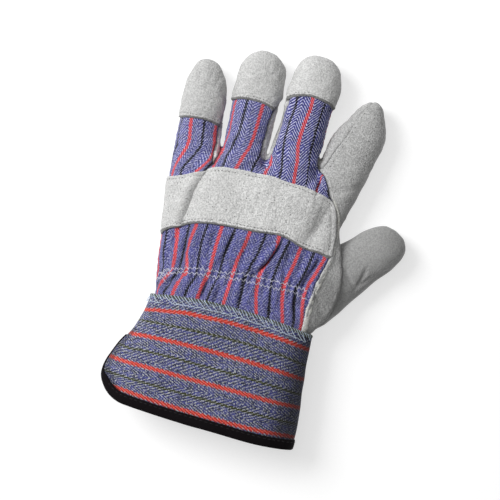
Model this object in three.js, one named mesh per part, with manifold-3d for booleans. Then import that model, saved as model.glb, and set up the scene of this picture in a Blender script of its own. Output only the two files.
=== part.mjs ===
// A left-hand work glove with a suede leather palm, lying palm down, in millimetres.
// +Y runs from the cuff's hem to the fingertips, +X to the thumb and +Z up to the back of the hand.
// The hand is a union of lofts, and each piece is a layer of that union inside its own outline.

import * as THREE from 'three';
import { mergeVertices } from 'three/addons/utils/BufferGeometryUtils.js';
import Module from 'manifold-3d';

const wasm = await Module();
wasm.setup();

// Wall thicknesses, and the gap that neighbouring pieces keep.
const LEATHER = 1.6;
const CANVAS = 1.2;
const PATCH = 1.5;
const CUFF_CLOTH = 1.8;
const TAPE = 1.0;
const GAP = 0.35;

// How square the hand's cross-sections are: 2 is an ellipse.
const SQUARENESS = 2.3;
// Below these heights the canvas back and the patches give way to the palm's leather.
const SIDE_SEAM_Z = 15;
const THUMB_SIDE_SEAM_Z = 22;
const THUMB_SIDE_X = 38;
const CAP_SEAM_Z = 12.5;
const ABOVE_ALL = 90;
const BELOW_ALL = -10;

// Cross-sections across the hand: left, right, bottom, top, and the heights of the widest points at each side.
// A bottom below the floor is flattened on it. floor is what that section rests on.
const BODY = [
  { y: -50, left: -52.5, right: 55.5, bottom: 3.0, top: 36.0, leftEdge: 18, rightEdge: 20, floor: 3.6 },
  { y: -36, left: -54.4, right: 57.4, bottom: 2.5, top: 35.5, leftEdge: 17, rightEdge: 21, floor: 3.6 },
  { y: -30, left: -56.4, right: 61.0, bottom: 0.5, top: 35.5, leftEdge: 16, rightEdge: 23, floor: 1.6 },
  { y: -22, left: -58.0, right: 64.8, bottom: -2, top: 36.0, leftEdge: 16, rightEdge: 25, floor: 0 },
  { y: -13, left: -59.4, right: 67.6, bottom: -3, top: 35.2, leftEdge: 16, rightEdge: 27, floor: 0 },
  { y: -4, left: -60.4, right: 68.2, bottom: -3, top: 36.0, leftEdge: 16, rightEdge: 27, floor: 0 },
  { y: 5, left: -61.4, right: 67.2, bottom: -3, top: 36.4, leftEdge: 16, rightEdge: 27, floor: 0 },
  { y: 14, left: -62.7, right: 65.0, bottom: -3, top: 37.0, leftEdge: 16, rightEdge: 26, floor: 0 },
  { y: 24, left: -64.4, right: 61.6, bottom: -3, top: 37.4, leftEdge: 16, rightEdge: 24, floor: 0 },
  { y: 34, left: -66.2, right: 58.8, bottom: -3, top: 37.2, leftEdge: 16, rightEdge: 21, floor: 0 },
  { y: 44, left: -67.8, right: 57.6, bottom: -3, top: 36.6, leftEdge: 16, rightEdge: 18, floor: 0 },
  { y: 54, left: -68.9, right: 58.6, bottom: -3, top: 35.6, leftEdge: 15, rightEdge: 16, floor: 0 },
  { y: 62, left: -69.0, right: 59.0, bottom: -2, top: 33.6, leftEdge: 15, rightEdge: 15, floor: 0 },
  { y: 67, left: -66.0, right: 56.0, bottom: 1, top: 29.0, leftEdge: 15, rightEdge: 15, floor: 0 },
];
const LITTLE = [
  { y: 40, left: -66.6, right: -34.0, bottom: -1, top: 29.5, leftEdge: 15, rightEdge: 15 },
  { y: 64, left: -69.4, right: -35.6, bottom: -3, top: 29.5, leftEdge: 15, rightEdge: 16 },
  { y: 75, left: -70.2, right: -38.9, bottom: -3, top: 28.0, leftEdge: 15, rightEdge: 15 },
  { y: 86, left: -71.4, right: -42.2, bottom: -3, top: 27.2, leftEdge: 14, rightEdge: 14 },
  { y: 94, left: -71.6, right: -45.4, bottom: -3, top: 26.4, leftEdge: 14, rightEdge: 14 },
  { y: 108, left: -72.4, right: -48.6, bottom: -3, top: 25.6, leftEdge: 13, rightEdge: 13 },
  { y: 117, left: -71.8, right: -51.0, bottom: -2, top: 24.4, leftEdge: 13, rightEdge: 13 },
  { y: 123, left: -69.4, right: -53.8, bottom: 0, top: 22.2, leftEdge: 12, rightEdge: 12 },
  { y: 126.3, left: -66.4, right: -57.2, bottom: 3.5, top: 19.0, leftEdge: 12, rightEdge: 12 },
  { y: 127.8, left: -63.6, right: -60.2, bottom: 8.5, top: 14.6, leftEdge: 12, rightEdge: 12 },
];
const RING = [
  { y: 42, left: -38.0, right: -4.0, bottom: -1, top: 34.0, leftEdge: 16, rightEdge: 16 },
  { y: 65, left: -38.0, right: -4.6, bottom: -3, top: 32.4, leftEdge: 16, rightEdge: 16 },
  { y: 75, left: -37.1, right: -6.0, bottom: -3, top: 31.5, leftEdge: 15, rightEdge: 15 },
  { y: 90, left: -38.2, right: -6.9, bottom: -3, top: 30.0, leftEdge: 15, rightEdge: 15 },
  { y: 108, left: -39.6, right: -7.8, bottom: -3, top: 28.6, leftEdge: 14, rightEdge: 14 },
  { y: 116, left: -39.6, right: -9.2, bottom: -3, top: 27.6, leftEdge: 14, rightEdge: 14 },
  { y: 129, left: -39.8, right: -9.8, bottom: -3, top: 26.8, leftEdge: 13, rightEdge: 13 },
  { y: 136.5, left: -37.6, right: -11.8, bottom: -2, top: 25.0, leftEdge: 13, rightEdge: 13 },
  { y: 141, left: -33.8, right: -15.0, bottom: 0.5, top: 22.6, leftEdge: 12, rightEdge: 12 },
  { y: 143.5, left: -29.6, right: -18.8, bottom: 4, top: 19.0, leftEdge: 12, rightEdge: 12 },
  { y: 144.5, left: -26.4, right: -22.0, bottom: 9, top: 14.6, leftEdge: 12, rightEdge: 12 },
];
const MIDDLE = [
  { y: 42, left: -8.0, right: 34.0, bottom: -1, top: 35.0, leftEdge: 17, rightEdge: 17 },
  { y: 66, left: -6.4, right: 32.2, bottom: -3, top: 33.4, leftEdge: 16, rightEdge: 17 },
  { y: 78, left: -4.3, right: 30.0, bottom: -3, top: 32.0, leftEdge: 16, rightEdge: 17 },
  { y: 92, left: -3.5, right: 28.5, bottom: -3, top: 31.0, leftEdge: 15, rightEdge: 16 },
  { y: 108, left: -4.0, right: 29.0, bottom: -3, top: 30.2, leftEdge: 14, rightEdge: 14 },
  { y: 121, left: -4.4, right: 29.6, bottom: -3, top: 29.2, leftEdge: 14, rightEdge: 14 },
  { y: 129, left: -3.6, right: 28.4, bottom: -3, top: 28.2, leftEdge: 13, rightEdge: 13 },
  { y: 139.5, left: -2.0, right: 26.8, bottom: -2, top: 26.2, leftEdge: 13, rightEdge: 13 },
  { y: 146.5, left: 1.6, right: 23.8, bottom: 1, top: 23.2, leftEdge: 12, rightEdge: 12 },
  { y: 150.2, left: 6.2, right: 19.6, bottom: 4.5, top: 19.2, leftEdge: 12, rightEdge: 12 },
  { y: 151.5, left: 10.4, right: 15.6, bottom: 9, top: 14.6, leftEdge: 12, rightEdge: 12 },
];
const INDEX = [
  { y: 34, left: 24.0, right: 57.0, bottom: -1, top: 27.0, leftEdge: 14, rightEdge: 14 },
  { y: 52, left: 25.6, right: 59.0, bottom: -3, top: 28.0, leftEdge: 14, rightEdge: 14 },
  { y: 66, left: 27.6, right: 62.2, bottom: -3, top: 28.0, leftEdge: 14, rightEdge: 14 },
  { y: 80, left: 30.4, right: 65.2, bottom: -3, top: 27.8, leftEdge: 14, rightEdge: 13 },
  { y: 94, left: 33.0, right: 67.9, bottom: -3, top: 27.0, leftEdge: 14, rightEdge: 13 },
  { y: 103, left: 35.0, right: 69.4, bottom: -3, top: 26.4, leftEdge: 13, rightEdge: 13 },
  { y: 111, left: 38.4, right: 69.5, bottom: -3, top: 25.6, leftEdge: 13, rightEdge: 13 },
  { y: 120, left: 43.8, right: 67.4, bottom: -2, top: 24.4, leftEdge: 12, rightEdge: 12 },
  { y: 127, left: 48.8, right: 64.0, bottom: 0.5, top: 22.0, leftEdge: 12, rightEdge: 12 },
  { y: 131, left: 52.4, right: 61.2, bottom: 4, top: 19.0, leftEdge: 12, rightEdge: 12 },
  { y: 132.8, left: 55.2, right: 58.6, bottom: 8.5, top: 15.4, leftEdge: 12, rightEdge: 12 },
];
// The thumb's sections are square to its own axis, which points heading degrees round from +X.
const THUMB = [
  { x: 37, y: -25, half: 13.0, heading: 50, bottom: 3, top: 20.0, edge: 12 },
  { x: 44, y: -17, half: 20.6, heading: 50, bottom: -1.5, top: 24.4, edge: 12 },
  { x: 54, y: -5.8, half: 19.6, heading: 50, bottom: -3, top: 25.4, edge: 12 },
  { x: 64, y: 6.6, half: 18.5, heading: 50, bottom: -3, top: 25.6, edge: 12 },
  { x: 73.4, y: 19.2, half: 17.4, heading: 51, bottom: -3, top: 25.5, edge: 12 },
  { x: 81.6, y: 28.8, half: 16.6, heading: 53, bottom: -3, top: 25.5, edge: 12 },
  { x: 88.0, y: 36.0, half: 15.6, heading: 53, bottom: -2.5, top: 25.2, edge: 12 },
  { x: 93.0, y: 41.7, half: 12.6, heading: 53, bottom: -1, top: 23.2, edge: 12 },
  { x: 96.2, y: 45.7, half: 8.6, heading: 53, bottom: 3, top: 19.6, edge: 12 },
  { x: 97.8, y: 47.6, half: 3.6, heading: 53, bottom: 8, top: 15.5, edge: 12 },
];

// The cuff's rings. Each ring's ends lag behind its middle by leftLag and rightLag at the two sides.
const CUFF = [
  { y: -32.5, left: -56.0, right: 59.0, top: 38.2, leftLag: 7.0, rightLag: 4.2 },
  { y: -46, left: -58.2, right: 60.2, top: 39.8, leftLag: 7.1, rightLag: 3.4 },
  { y: -62, left: -62.8, right: 61.9, top: 41.8, leftLag: 6.6, rightLag: 1.8 },
  { y: -78, left: -68.8, right: 63.5, top: 43.8, leftLag: 4.8, rightLag: 0 },
  { y: -94, left: -73.4, right: 65.0, top: 45.6, leftLag: 2.0, rightLag: -1.8 },
  { y: -108, left: -74.8, right: 66.1, top: 46.8, leftLag: 0, rightLag: -2.8 },
  { y: -121, left: -74.6, right: 66.8, top: 47.4, leftLag: -1.2, rightLag: -3.6 },
];
const CUFF_SQUARENESS = 2.3;
const CUFF_EDGE = 22;
const CUFF_FLOOR = TAPE + GAP;
const HEM_Y = -121;
// The hem's corner at the little finger's side is an ellipse's quarter, and above it the cuff is slit.
const CORNER = { x: -46, y: -96, across: 29.4, along: 25 };
const SLIT = [
  { y: -72, half: 0 },
  { y: -80, half: 1.0 },
  { y: -92, half: 2.6 },
  { y: -102, half: 5.4 },
  { y: -110, half: 9.5 },
  { y: -116, half: 14 },
  { y: -124, half: 21 },
];
const TAPE_WIDTH = 8;

// Folds across the back: each is a valley along a straight line.
const FOLDS = [
  { fromX: -45, fromY: 58, toX: -52.5, toY: 6, depth: 2.6, width: 3.6 },
  { fromX: 37, fromY: 56, toX: 34, toY: 24, depth: 1.2, width: 6 },
  { fromX: 19.5, fromY: 22, toX: 5, toY: -12, depth: 1.6, width: 3.0 },
];
// The elastic gathers the wrist in waves that die out towards the strap and into the cuff.
const GATHER = { fromY: -40, toY: 20, middleY: -14, pitch: 19, phase: 5, height: 1.5 };

// Plan outlines, seen from above the back of the hand. Where one runs past the hand's side, the side is its edge.
const BACK_OUTLINE = [
  [-62, -47], [-66, -20], [-76, 40], [-78, 97], [-46.2, 97], [-45.4, 87], [-43.7, 80], [-42.4, 72],
  [-41.5, 64], [-40.5, 60.5], [-39.3, 64], [-38.1, 70], [-39.4, 78], [-40.6, 90], [-43.6, 106], [-46, 119],
  [-10.2, 119], [-10.0, 100], [-9.8, 80], [-9.4, 75.6], [-7.2, 72.4], [-4.9, 73.4], [-3.5, 77], [-2.9, 90],
  [-2.6, 108], [-1.4, 118], [-1.4, 132], [36, 132], [33.5, 112], [30.4, 90], [30.1, 79.4], [32.6, 75.6],
  [36.5, 72.8], [41, 66.4], [47, 57.4], [51.6, 50], [54.3, 40], [55.6, 28], [55.4, 17], [53.4, 7],
  [51.6, -3], [50.8, -12], [50.6, -22], [51.4, -34], [51.4, -47],
];
const STRAP_OUTLINE = [
  [-80, 39.5], [-69, 42.5], [-60, 45.6], [-50, 49.8], [-43, 54], [-36, 57.8], [-25, 59.6], [-10, 60.6], [0, 61.2],
  [15, 61.5], [30, 60.5], [40, 59], [47.4, 56.6], [51.4, 50], [53.9, 40], [55.1, 30], [55.4, 18.4],
  [48, 19.6], [40, 19.8], [32, 21], [25, 23.2], [18, 24], [10, 23.2], [0, 21.8], [-10, 21], [-20, 20.2],
  [-30, 18.9], [-38, 17], [-45, 14.4], [-50, 11.2], [-55, 9], [-59, 5.6], [-62.6, 1], [-80, -4],
];
const INDEX_SIDE_OUTLINE = [
  [33.0, 77.2], [36.6, 85], [40, 95], [43.8, 105], [47, 115], [50.2, 124], [55.5, 133.2], [50, 139],
  [38, 120], [31, 103], [28.5, 90], [29.9, 80.4],
];
const FINGER_FRONT_OUTLINE = [
  [-38.4, 64], [31.4, 64], [31.2, 72], [30.2, 79], [30.4, 90], [34, 110], [38, 160], [-46, 160], [-44.8, 119],
  [-42.2, 104], [-40.2, 90], [-39.2, 80], [-37.4, 70.5],
];
// Fingertip caps: the outline, and the window behind each one where the cap alone is the wall.
const CAPS = [
  {
    name: 'little_fingertip_cap',
    outline: [
      [-80, 84.5], [-72, 86.4], [-65, 88.2], [-57, 88.9], [-50, 88.6], [-44.8, 87.2], [-46.6, 96], [-49.2, 110],
      [-52, 120], [-54, 134], [-80, 134],
    ],
    window: [[-80, 97.4], [-50.4, 97.4], [-52.4, 110], [-55.6, 120], [-58, 134], [-80, 134]],
  },
  {
    name: 'ring_fingertip_cap',
    outline: [
      [-44, 108.8], [-39.6, 110], [-32, 111.6], [-24, 111.8], [-17, 110.8], [-9.9, 109], [-10.2, 126],
      [-12, 136], [-17, 150], [-44, 150],
    ],
    window: [[-46, 119.4], [-14, 119.4], [-14.4, 128], [-17, 136], [-21, 150], [-46, 150]],
  },
  {
    name: 'middle_fingertip_cap',
    outline: [
      [-1.9, 118.6], [3, 122.6], [10, 125.2], [18, 126.2], [25, 125], [30.2, 122.6], [38, 119], [38, 156],
      [2, 156], [-2.4, 142], [-2.7, 132],
    ],
    window: [[2.4, 132.4], [38, 132.4], [38, 156], [8, 156], [3, 143]],
  },
];

const mix = (a, b, t) => a + (b - a) * t;
const smoothstep = (t) => t * t * (3 - 2 * t);
const clamp = (t, low, high) => Math.min(Math.max(t, low), high);
const degrees = (a) => (a * Math.PI) / 180;

// A row given by its left and right becomes a centre, a half width and a heading along +Y.
const straightAhead = (rows) =>
  rows.map(({ left, right, ...rest }) => ({ x: (left + right) / 2, half: (right - left) / 2, heading: 90, ...rest }));

// How far the back's surface sinks below its plain section at a point seen from above.
function foldDepth(x, y) {
  let depth = 0;
  for (const { fromX, fromY, toX, toY, depth: deep, width } of FOLDS) {
    const run = new THREE.Vector2(toX - fromX, toY - fromY);
    const along = clamp(((x - fromX) * run.x + (y - fromY) * run.y) / run.lengthSq(), 0, 1);
    const away = Math.abs((x - fromX) * run.y - (y - fromY) * run.x) / run.length();
    const fade = Math.sin(Math.PI * clamp(along, 0.06, 0.94));
    depth += deep * Math.min(1, 1.6 * fade) * Math.exp(-((away / width) ** 2));
  }
  return depth;
}

function gatherHeight(x, y) {
  const reach = y > GATHER.middleY ? GATHER.toY - GATHER.middleY : GATHER.middleY - GATHER.fromY;
  const fade = smoothstep(clamp(1 - Math.abs(y - GATHER.middleY) / reach, 0, 1));
  return GATHER.height * fade * Math.cos((2 * Math.PI * (x - GATHER.phase)) / GATHER.pitch);
}

// Angles round a section, over the back and then under the palm. crowd draws the upper ones to the middle.
function sectionAngles(over, under, crowd = 0) {
  const angles = [];
  for (let i = 0; i < over; i++) angles.push((Math.PI * i) / over + crowd * Math.sin((2 * Math.PI * i) / over));
  for (let i = 0; i < under; i++) angles.push(Math.PI + (Math.PI * i) / under);
  return angles;
}

// The closed ring of points of one row, its surface moved outwards by offset.
function sectionRing(row, angles, offset, { squareness = SQUARENESS, relief = false }) {
  const power = 2 / squareness;
  const out = offset * Math.sqrt(1 - row.taper ** 2);
  const ahead = offset * row.taper;
  const heading = degrees(row.heading);
  const leftEdge = row.leftEdge ?? row.edge;
  const rightEdge = row.rightEdge ?? row.edge;
  const half = Math.max(row.half + out, 0.2);
  return angles.map((angle) => {
    const across = Math.sign(Math.cos(angle)) * Math.abs(Math.cos(angle)) ** power;
    const up = Math.abs(Math.sin(angle)) ** power;
    const edge = mix(leftEdge, rightEdge, (across + 1) / 2);
    const over = Math.sin(angle) >= 0;
    const lag = across < 0 ? (row.leftLag ?? 0) : (row.rightLag ?? 0);
    const forward = ahead - lag * across ** 2;
    const x = row.x + half * across * Math.sin(heading) + forward * Math.cos(heading);
    const y = row.y - half * across * Math.cos(heading) + forward * Math.sin(heading);
    let z = over ? edge + (row.top + out - edge) * up : edge - (edge - row.bottom + out) * up;
    if (over && relief) z += (gatherHeight(x, y) - foldDepth(x, y)) * Math.min(1, 1.4 * up ** 2);
    return [x, y, Math.max(z, (row.floor ?? 0) - offset)];
  });
}

// Each row learns how fast the loft narrows there, so that a moved surface also moves ahead at a tip.
function withTaper(rows) {
  return rows.map((row, i) => {
    const before = rows[Math.max(i - 1, 0)];
    const after = rows[Math.min(i + 1, rows.length - 1)];
    const run = Math.hypot(after.x - before.x, after.y - before.y);
    const slope = Math.max((before.half - after.half) / run, 0);
    return { ...row, taper: i < rows.length / 2 ? 0 : slope / Math.hypot(slope, 1) };
  });
}

function solid(geometry) {
  geometry.deleteAttribute('normal');
  geometry.deleteAttribute('uv');
  const merged = mergeVertices(geometry, 1e-5);
  return new wasm.Manifold(
    new wasm.Mesh({
      numProp: 3,
      vertProperties: new Float32Array(merged.attributes.position.array),
      triVerts: new Uint32Array(merged.index.array),
    }),
  );
}

// A closed solid through rings of points, with a fan over each end.
function loftSolid(rings) {
  const count = rings[0].length;
  const points = rings.flat();
  const faces = [];
  for (let i = 0; i + 1 < rings.length; i++) {
    for (let j = 0; j < count; j++) {
      const a = i * count + j;
      const b = i * count + ((j + 1) % count);
      faces.push(a, a + count, b, b, a + count, b + count);
    }
  }
  const addEnd = (ring, start, flip) => {
    const middle = ring.reduce((sum, p) => sum.map((v, k) => v + p[k] / count), [0, 0, 0]);
    const centre = points.push(middle) - 1;
    for (let j = 0; j < count; j++) {
      const a = start + j;
      const b = start + ((j + 1) % count);
      faces.push(centre, ...(flip ? [b, a] : [a, b]));
    }
  };
  addEnd(rings[0], 0, false);
  addEnd(rings.at(-1), (rings.length - 1) * count, true);
  const geometry = new THREE.BufferGeometry();
  geometry.setAttribute('position', new THREE.Float32BufferAttribute(points.flat(), 3));
  geometry.setIndex(faces);
  return solid(geometry);
}

const loft = (rows, angles, offset, options = {}) =>
  loftSolid(withTaper(rows).map((row) => sectionRing(row, angles, offset, options)));

const union = (solids) => solids.reduce((sum, next) => sum.add(next));

// A plan outline moved outwards by a small distance, to leave a gap or to lap.
function grow(outline, distance) {
  const area = THREE.ShapeUtils.area(outline.map(([x, y]) => new THREE.Vector2(x, y)));
  const side = Math.sign(area) * distance;
  return outline.map(([x, y], i) => {
    const [ax, ay] = outline[(i + outline.length - 1) % outline.length];
    const [bx, by] = outline[(i + 1) % outline.length];
    const before = new THREE.Vector2(y - ay, ax - x).normalize();
    const after = new THREE.Vector2(by - y, x - bx).normalize();
    const normal = before.clone().add(after).normalize();
    const stretch = Math.min(1 / Math.max(normal.dot(before), 0.4), 2);
    return [x + normal.x * side * stretch, y + normal.y * side * stretch];
  });
}

// The column of space over a plan outline, between two heights.
function column(outline, low, high = ABOVE_ALL) {
  const shape = new THREE.Shape(outline.map(([x, y]) => new THREE.Vector2(x, y)));
  const geometry = new THREE.ExtrudeGeometry(shape, { depth: high - low, bevelEnabled: false });
  geometry.translate(0, 0, low);
  return solid(geometry);
}

const BODY_ANGLES = sectionAngles(26, 6, 0.12);
const FINGER_ANGLES = sectionAngles(9, 4);
const INNER_FINGER_ANGLES = sectionAngles(6, 3);
const CUFF_ANGLES = sectionAngles(16, 8);

const bodyRows = straightAhead(BODY);
const fingerRows = [LITTLE, RING, MIDDLE, INDEX].map(straightAhead);
const everyOther = (rows) => rows.filter((row, i) => i % 2 === 0 || i > rows.length - 4);

// The hand without its thumb, its surface moved outwards by offset.
const hand = (offset) =>
  union([
    loft(bodyRows, BODY_ANGLES, offset, { relief: true }),
    ...fingerRows.map((rows) => loft(rows, FINGER_ANGLES, offset)),
  ]);

// The hollow: the whole hand moved inwards, with its wrist end drawn out so that it stays open.
function hollow(offset) {
  const wrist = { ...bodyRows[0], y: bodyRows[0].y - 12 };
  return union([
    loft([wrist, ...bodyRows], BODY_ANGLES, offset, { relief: true }),
    ...fingerRows.map((rows) => loft(everyOther(rows), INNER_FINGER_ANGLES, offset)),
    loft(everyOther(THUMB), INNER_FINGER_ANGLES, offset),
  ]);
}

const handSurface = hand(0);
const leatherHollow = hollow(-LEATHER);
const leatherShell = handSurface.subtract(leatherHollow);
const patchShell = hand(GAP + PATCH).subtract(hand(GAP));

// The space that belongs to the canvas back, and a distance round it.
function backSpace(distance) {
  const low = [[THUMB_SIDE_X, -60], [100, -60], [100, 160], [THUMB_SIDE_X, 160]];
  const space = column(grow(BACK_OUTLINE, distance), SIDE_SEAM_Z - distance);
  return space.subtract(column(low, BELOW_ALL, THUMB_SIDE_SEAM_Z - distance));
}

function palm() {
  const taken = [
    backSpace(GAP),
    column(grow(INDEX_SIDE_OUTLINE, GAP), CAP_SEAM_Z - GAP),
    column(grow(FINGER_FRONT_OUTLINE, GAP), BELOW_ALL),
    column(CAPS[0].window, SIDE_SEAM_Z),
  ];
  return leatherShell.subtract(union(taken));
}

function fingerFronts() {
  const taken = [
    backSpace(GAP),
    column(grow(INDEX_SIDE_OUTLINE, GAP), CAP_SEAM_Z - GAP),
    column(CAPS[1].window, SIDE_SEAM_Z),
    column(CAPS[2].window, SIDE_SEAM_Z),
  ];
  return leatherShell.intersect(column(FINGER_FRONT_OUTLINE, BELOW_ALL)).subtract(union(taken));
}

const back = () => handSurface.subtract(hollow(-CANVAS)).intersect(backSpace(0));
const indexSide = () => leatherShell.intersect(column(INDEX_SIDE_OUTLINE, CAP_SEAM_Z)).subtract(backSpace(GAP));
const strap = () => patchShell.intersect(column(STRAP_OUTLINE, SIDE_SEAM_Z));
const cap = ({ outline }) => patchShell.intersect(column(outline, CAP_SEAM_Z));

const thumb = () => loft(THUMB, FINGER_ANGLES, 0).subtract(leatherHollow).subtract(hand(GAP));

// The cuff's tube: its surface at an outward offset, drawn out past both ends by overrun.
function cuffSolid(offset, overrun = 0) {
  const rows = straightAhead(CUFF).map((row) => ({
    ...row,
    bottom: -2,
    leftEdge: CUFF_EDGE,
    rightEdge: CUFF_EDGE,
    floor: CUFF_FLOOR,
  }));
  if (overrun) {
    rows.unshift({ ...rows[0], y: rows[0].y + overrun });
    rows.push({ ...rows.at(-1), y: rows.at(-1).y - overrun });
  }
  return loft(rows.reverse(), CUFF_ANGLES, offset, { squareness: CUFF_SQUARENESS });
}

const cuffShell = (out, inner) => cuffSolid(out).subtract(cuffSolid(-inner, 15));

// Everything within a distance of the hem's edge, its round corner and the slit.
function nearHem(distance) {
  const hemRow = CUFF.at(-1);
  const hem = [[-100, HEM_Y + distance], [100, HEM_Y - 30], [-100, HEM_Y - 30]];
  const middle = (hemRow.left + hemRow.right) / 2;
  const half = (hemRow.right - hemRow.left) / 2;
  for (let i = 4; i >= -4; i--) {
    const across = (i / 4) * 1.1;
    const lag = across < 0 ? hemRow.leftLag : hemRow.rightLag;
    hem.splice(1, 0, [middle + half * across, HEM_Y + distance - lag * across ** 2]);
  }
  const corner = [];
  for (let i = 0; i <= 5; i++) {
    const angle = degrees(180 + (90 * i) / 5);
    const x = CORNER.x + (CORNER.across - distance) * Math.cos(angle);
    const y = CORNER.y + (CORNER.along - distance) * Math.sin(angle);
    corner.push([x, y]);
  }
  corner.push([CORNER.x, HEM_Y - 30], [-100, HEM_Y - 30], [-100, CORNER.y]);
  return union([column(hem.reverse(), BELOW_ALL), column(corner, BELOW_ALL), slit(distance)]);
}

// The slit is an upright outline, in Y and Z, that runs through the little finger's side of the cuff.
function slit(distance) {
  const upper = SLIT.map(({ y, half }) => new THREE.Vector2(y, CUFF_EDGE + half + distance));
  const lower = SLIT.map(({ y, half }) => new THREE.Vector2(y, CUFF_EDGE - half - distance));
  const tip = new THREE.Vector2(SLIT[0].y + distance + 0.5, CUFF_EDGE);
  const geometry = new THREE.ExtrudeGeometry(new THREE.Shape([tip, ...upper, ...lower.reverse()]), {
    depth: 40,
    bevelEnabled: false,
  });
  const toYZ = new THREE.Matrix4().makeBasis(
    new THREE.Vector3(0, 1, 0),
    new THREE.Vector3(0, 0, 1),
    new THREE.Vector3(1, 0, 0),
  );
  geometry.applyMatrix4(toYZ.setPosition(-95, 0, 0));
  return solid(geometry);
}

const cuff = () => cuffShell(0, CUFF_CLOTH).subtract(nearHem(TAPE + GAP)).subtract(hand(GAP));

function cuffBinding() {
  const room = cuffShell(GAP, CUFF_CLOTH + GAP).subtract(nearHem(TAPE));
  return cuffShell(TAPE + GAP, CUFF_CLOTH + TAPE + GAP).subtract(nearHem(0)).intersect(nearHem(TAPE_WIDTH)).subtract(room);
}

const SUEDE = { color: 0xc4c4c2, roughness: 0.95, metalness: 0 };
const SHADED_SUEDE = { color: 0xa3a3a2, roughness: 0.95, metalness: 0 };
const STRIPED_CANVAS = { color: 0x55589a, roughness: 0.9, metalness: 0 };
const CUFF_CANVAS = { color: 0x666a94, roughness: 0.85, metalness: 0 };
const BLACK_TAPE = { color: 0x1b1719, roughness: 0.7, metalness: 0 };

function mesh(name, manifold, material) {
  const { vertProperties, triVerts } = manifold.getMesh();
  const geometry = new THREE.BufferGeometry();
  geometry.setAttribute('position', new THREE.BufferAttribute(vertProperties, 3));
  geometry.setIndex(new THREE.BufferAttribute(triVerts, 1));
  geometry.computeVertexNormals();
  const piece = new THREE.Mesh(geometry, new THREE.MeshStandardMaterial(material));
  piece.name = name;
  return piece;
}

const glove = new THREE.Group();
glove.add(
  mesh('palm', palm(), SUEDE),
  mesh('middle_finger_fronts', fingerFronts(), SUEDE),
  mesh('index_side', indexSide(), SUEDE),
  mesh('thumb', thumb(), SHADED_SUEDE),
  mesh('back_canvas', back(), STRIPED_CANVAS),
  mesh('knuckle_strap', strap(), SUEDE),
  ...CAPS.map((each) => mesh(each.name, cap(each), SUEDE)),
  mesh('cuff', cuff(), CUFF_CANVAS),
  mesh('cuff_binding', cuffBinding(), BLACK_TAPE),
);

// The origin is the middle of the glove's box, on the floor.
const box = new THREE.Box3().setFromObject(glove);
glove.position.set(-(box.min.x + box.max.x) / 2, -(box.min.y + box.max.y) / 2, -box.min.z);

export default glove;
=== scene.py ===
import math

import bpy
import numpy as np
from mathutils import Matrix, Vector
from mathutils.bvhtree import BVHTree


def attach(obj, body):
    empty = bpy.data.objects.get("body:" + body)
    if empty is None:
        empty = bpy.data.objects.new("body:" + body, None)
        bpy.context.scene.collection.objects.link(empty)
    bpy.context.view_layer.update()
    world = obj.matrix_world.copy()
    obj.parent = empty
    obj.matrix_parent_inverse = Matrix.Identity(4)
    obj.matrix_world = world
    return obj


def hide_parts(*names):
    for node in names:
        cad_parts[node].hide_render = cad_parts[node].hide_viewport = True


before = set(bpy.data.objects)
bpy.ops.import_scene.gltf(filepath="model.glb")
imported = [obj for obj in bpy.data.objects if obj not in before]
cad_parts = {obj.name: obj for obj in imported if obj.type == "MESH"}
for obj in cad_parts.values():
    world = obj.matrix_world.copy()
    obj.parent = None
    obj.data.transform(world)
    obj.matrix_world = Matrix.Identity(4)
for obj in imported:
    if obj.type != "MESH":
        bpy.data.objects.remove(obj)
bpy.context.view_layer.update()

# The point of the tables' frame that is the row frame's origin.
ORIGIN = np.array([14.346, 16.132, 0.0])
RNG = np.random.default_rng(11)

LEATHER = 1.5
CANVAS = 1.0
PATCH_LIFT = 0.35
PATCH = 1.4
CUFF_CLOTH = 1.7
SIDE_SEAM_Z = 15.0
THUMB_SIDE_SEAM_Z = 22.0
THUMB_SIDE_X = 38.0
INDEX_SEAM_Z = 12.5
SQUARENESS = 2.3
VOXEL = 1.0
BACK_EDGE_X = 53.0
WRIST_Y = -49.0
SECTION_STEP = 1.5
HAND_ANGLES = np.linspace(0, 2 * math.pi, 97)[:-1]
FAR = 50.0

# Sections across the hand: y, left, right, bottom, top, height of the widest point at each side, floor.
BODY = [
    (-50, -52.5, 55.5, 3.0, 36.0, 18, 20, 3.6),
    (-36, -54.4, 57.4, 2.5, 35.5, 17, 21, 3.6),
    (-30, -56.4, 61.0, 0.5, 35.5, 16, 23, 1.6),
    (-22, -58.0, 64.8, -2, 36.0, 16, 25, 0),
    (-13, -59.4, 67.6, -3, 35.2, 16, 27, 0),
    (-4, -60.4, 68.2, -3, 36.0, 16, 27, 0),
    (5, -61.4, 67.2, -3, 36.4, 16, 27, 0),
    (14, -62.7, 65.0, -3, 37.0, 16, 26, 0),
    (24, -64.4, 61.6, -3, 37.4, 16, 24, 0),
    (34, -66.2, 58.8, -3, 37.2, 16, 21, 0),
    (44, -67.8, 57.6, -3, 36.6, 16, 18, 0),
    (54, -68.9, 58.6, -3, 35.6, 15, 16, 0),
    (62, -69.0, 59.0, -2, 33.6, 15, 15, 0),
    (67, -66.0, 56.0, 1, 29.0, 15, 15, 0),
]
LITTLE = [
    (40, -66.6, -34.0, -1, 29.5, 15, 15, 0),
    (64, -69.6, -35.0, -3, 29.5, 15, 16, 0),
    (75, -70.8, -39.2, -3, 28.0, 15, 15, 0),
    (86, -72.2, -41.4, -3, 27.2, 14, 14, 0),
    (94, -72.6, -42.3, -3, 26.4, 14, 14, 0),
    (108, -73.2, -45.3, -3, 25.6, 13, 13, 0),
    (117, -72.6, -48.3, -2, 24.4, 13, 13, 0),
    (123, -71.4, -51.4, 0, 22.2, 12, 12, 0),
    (126.8, -69.0, -54.8, 3.5, 19.0, 12, 12, 0),
    (129.0, -66.0, -58.0, 8.5, 14.6, 12, 12, 0),
]
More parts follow.
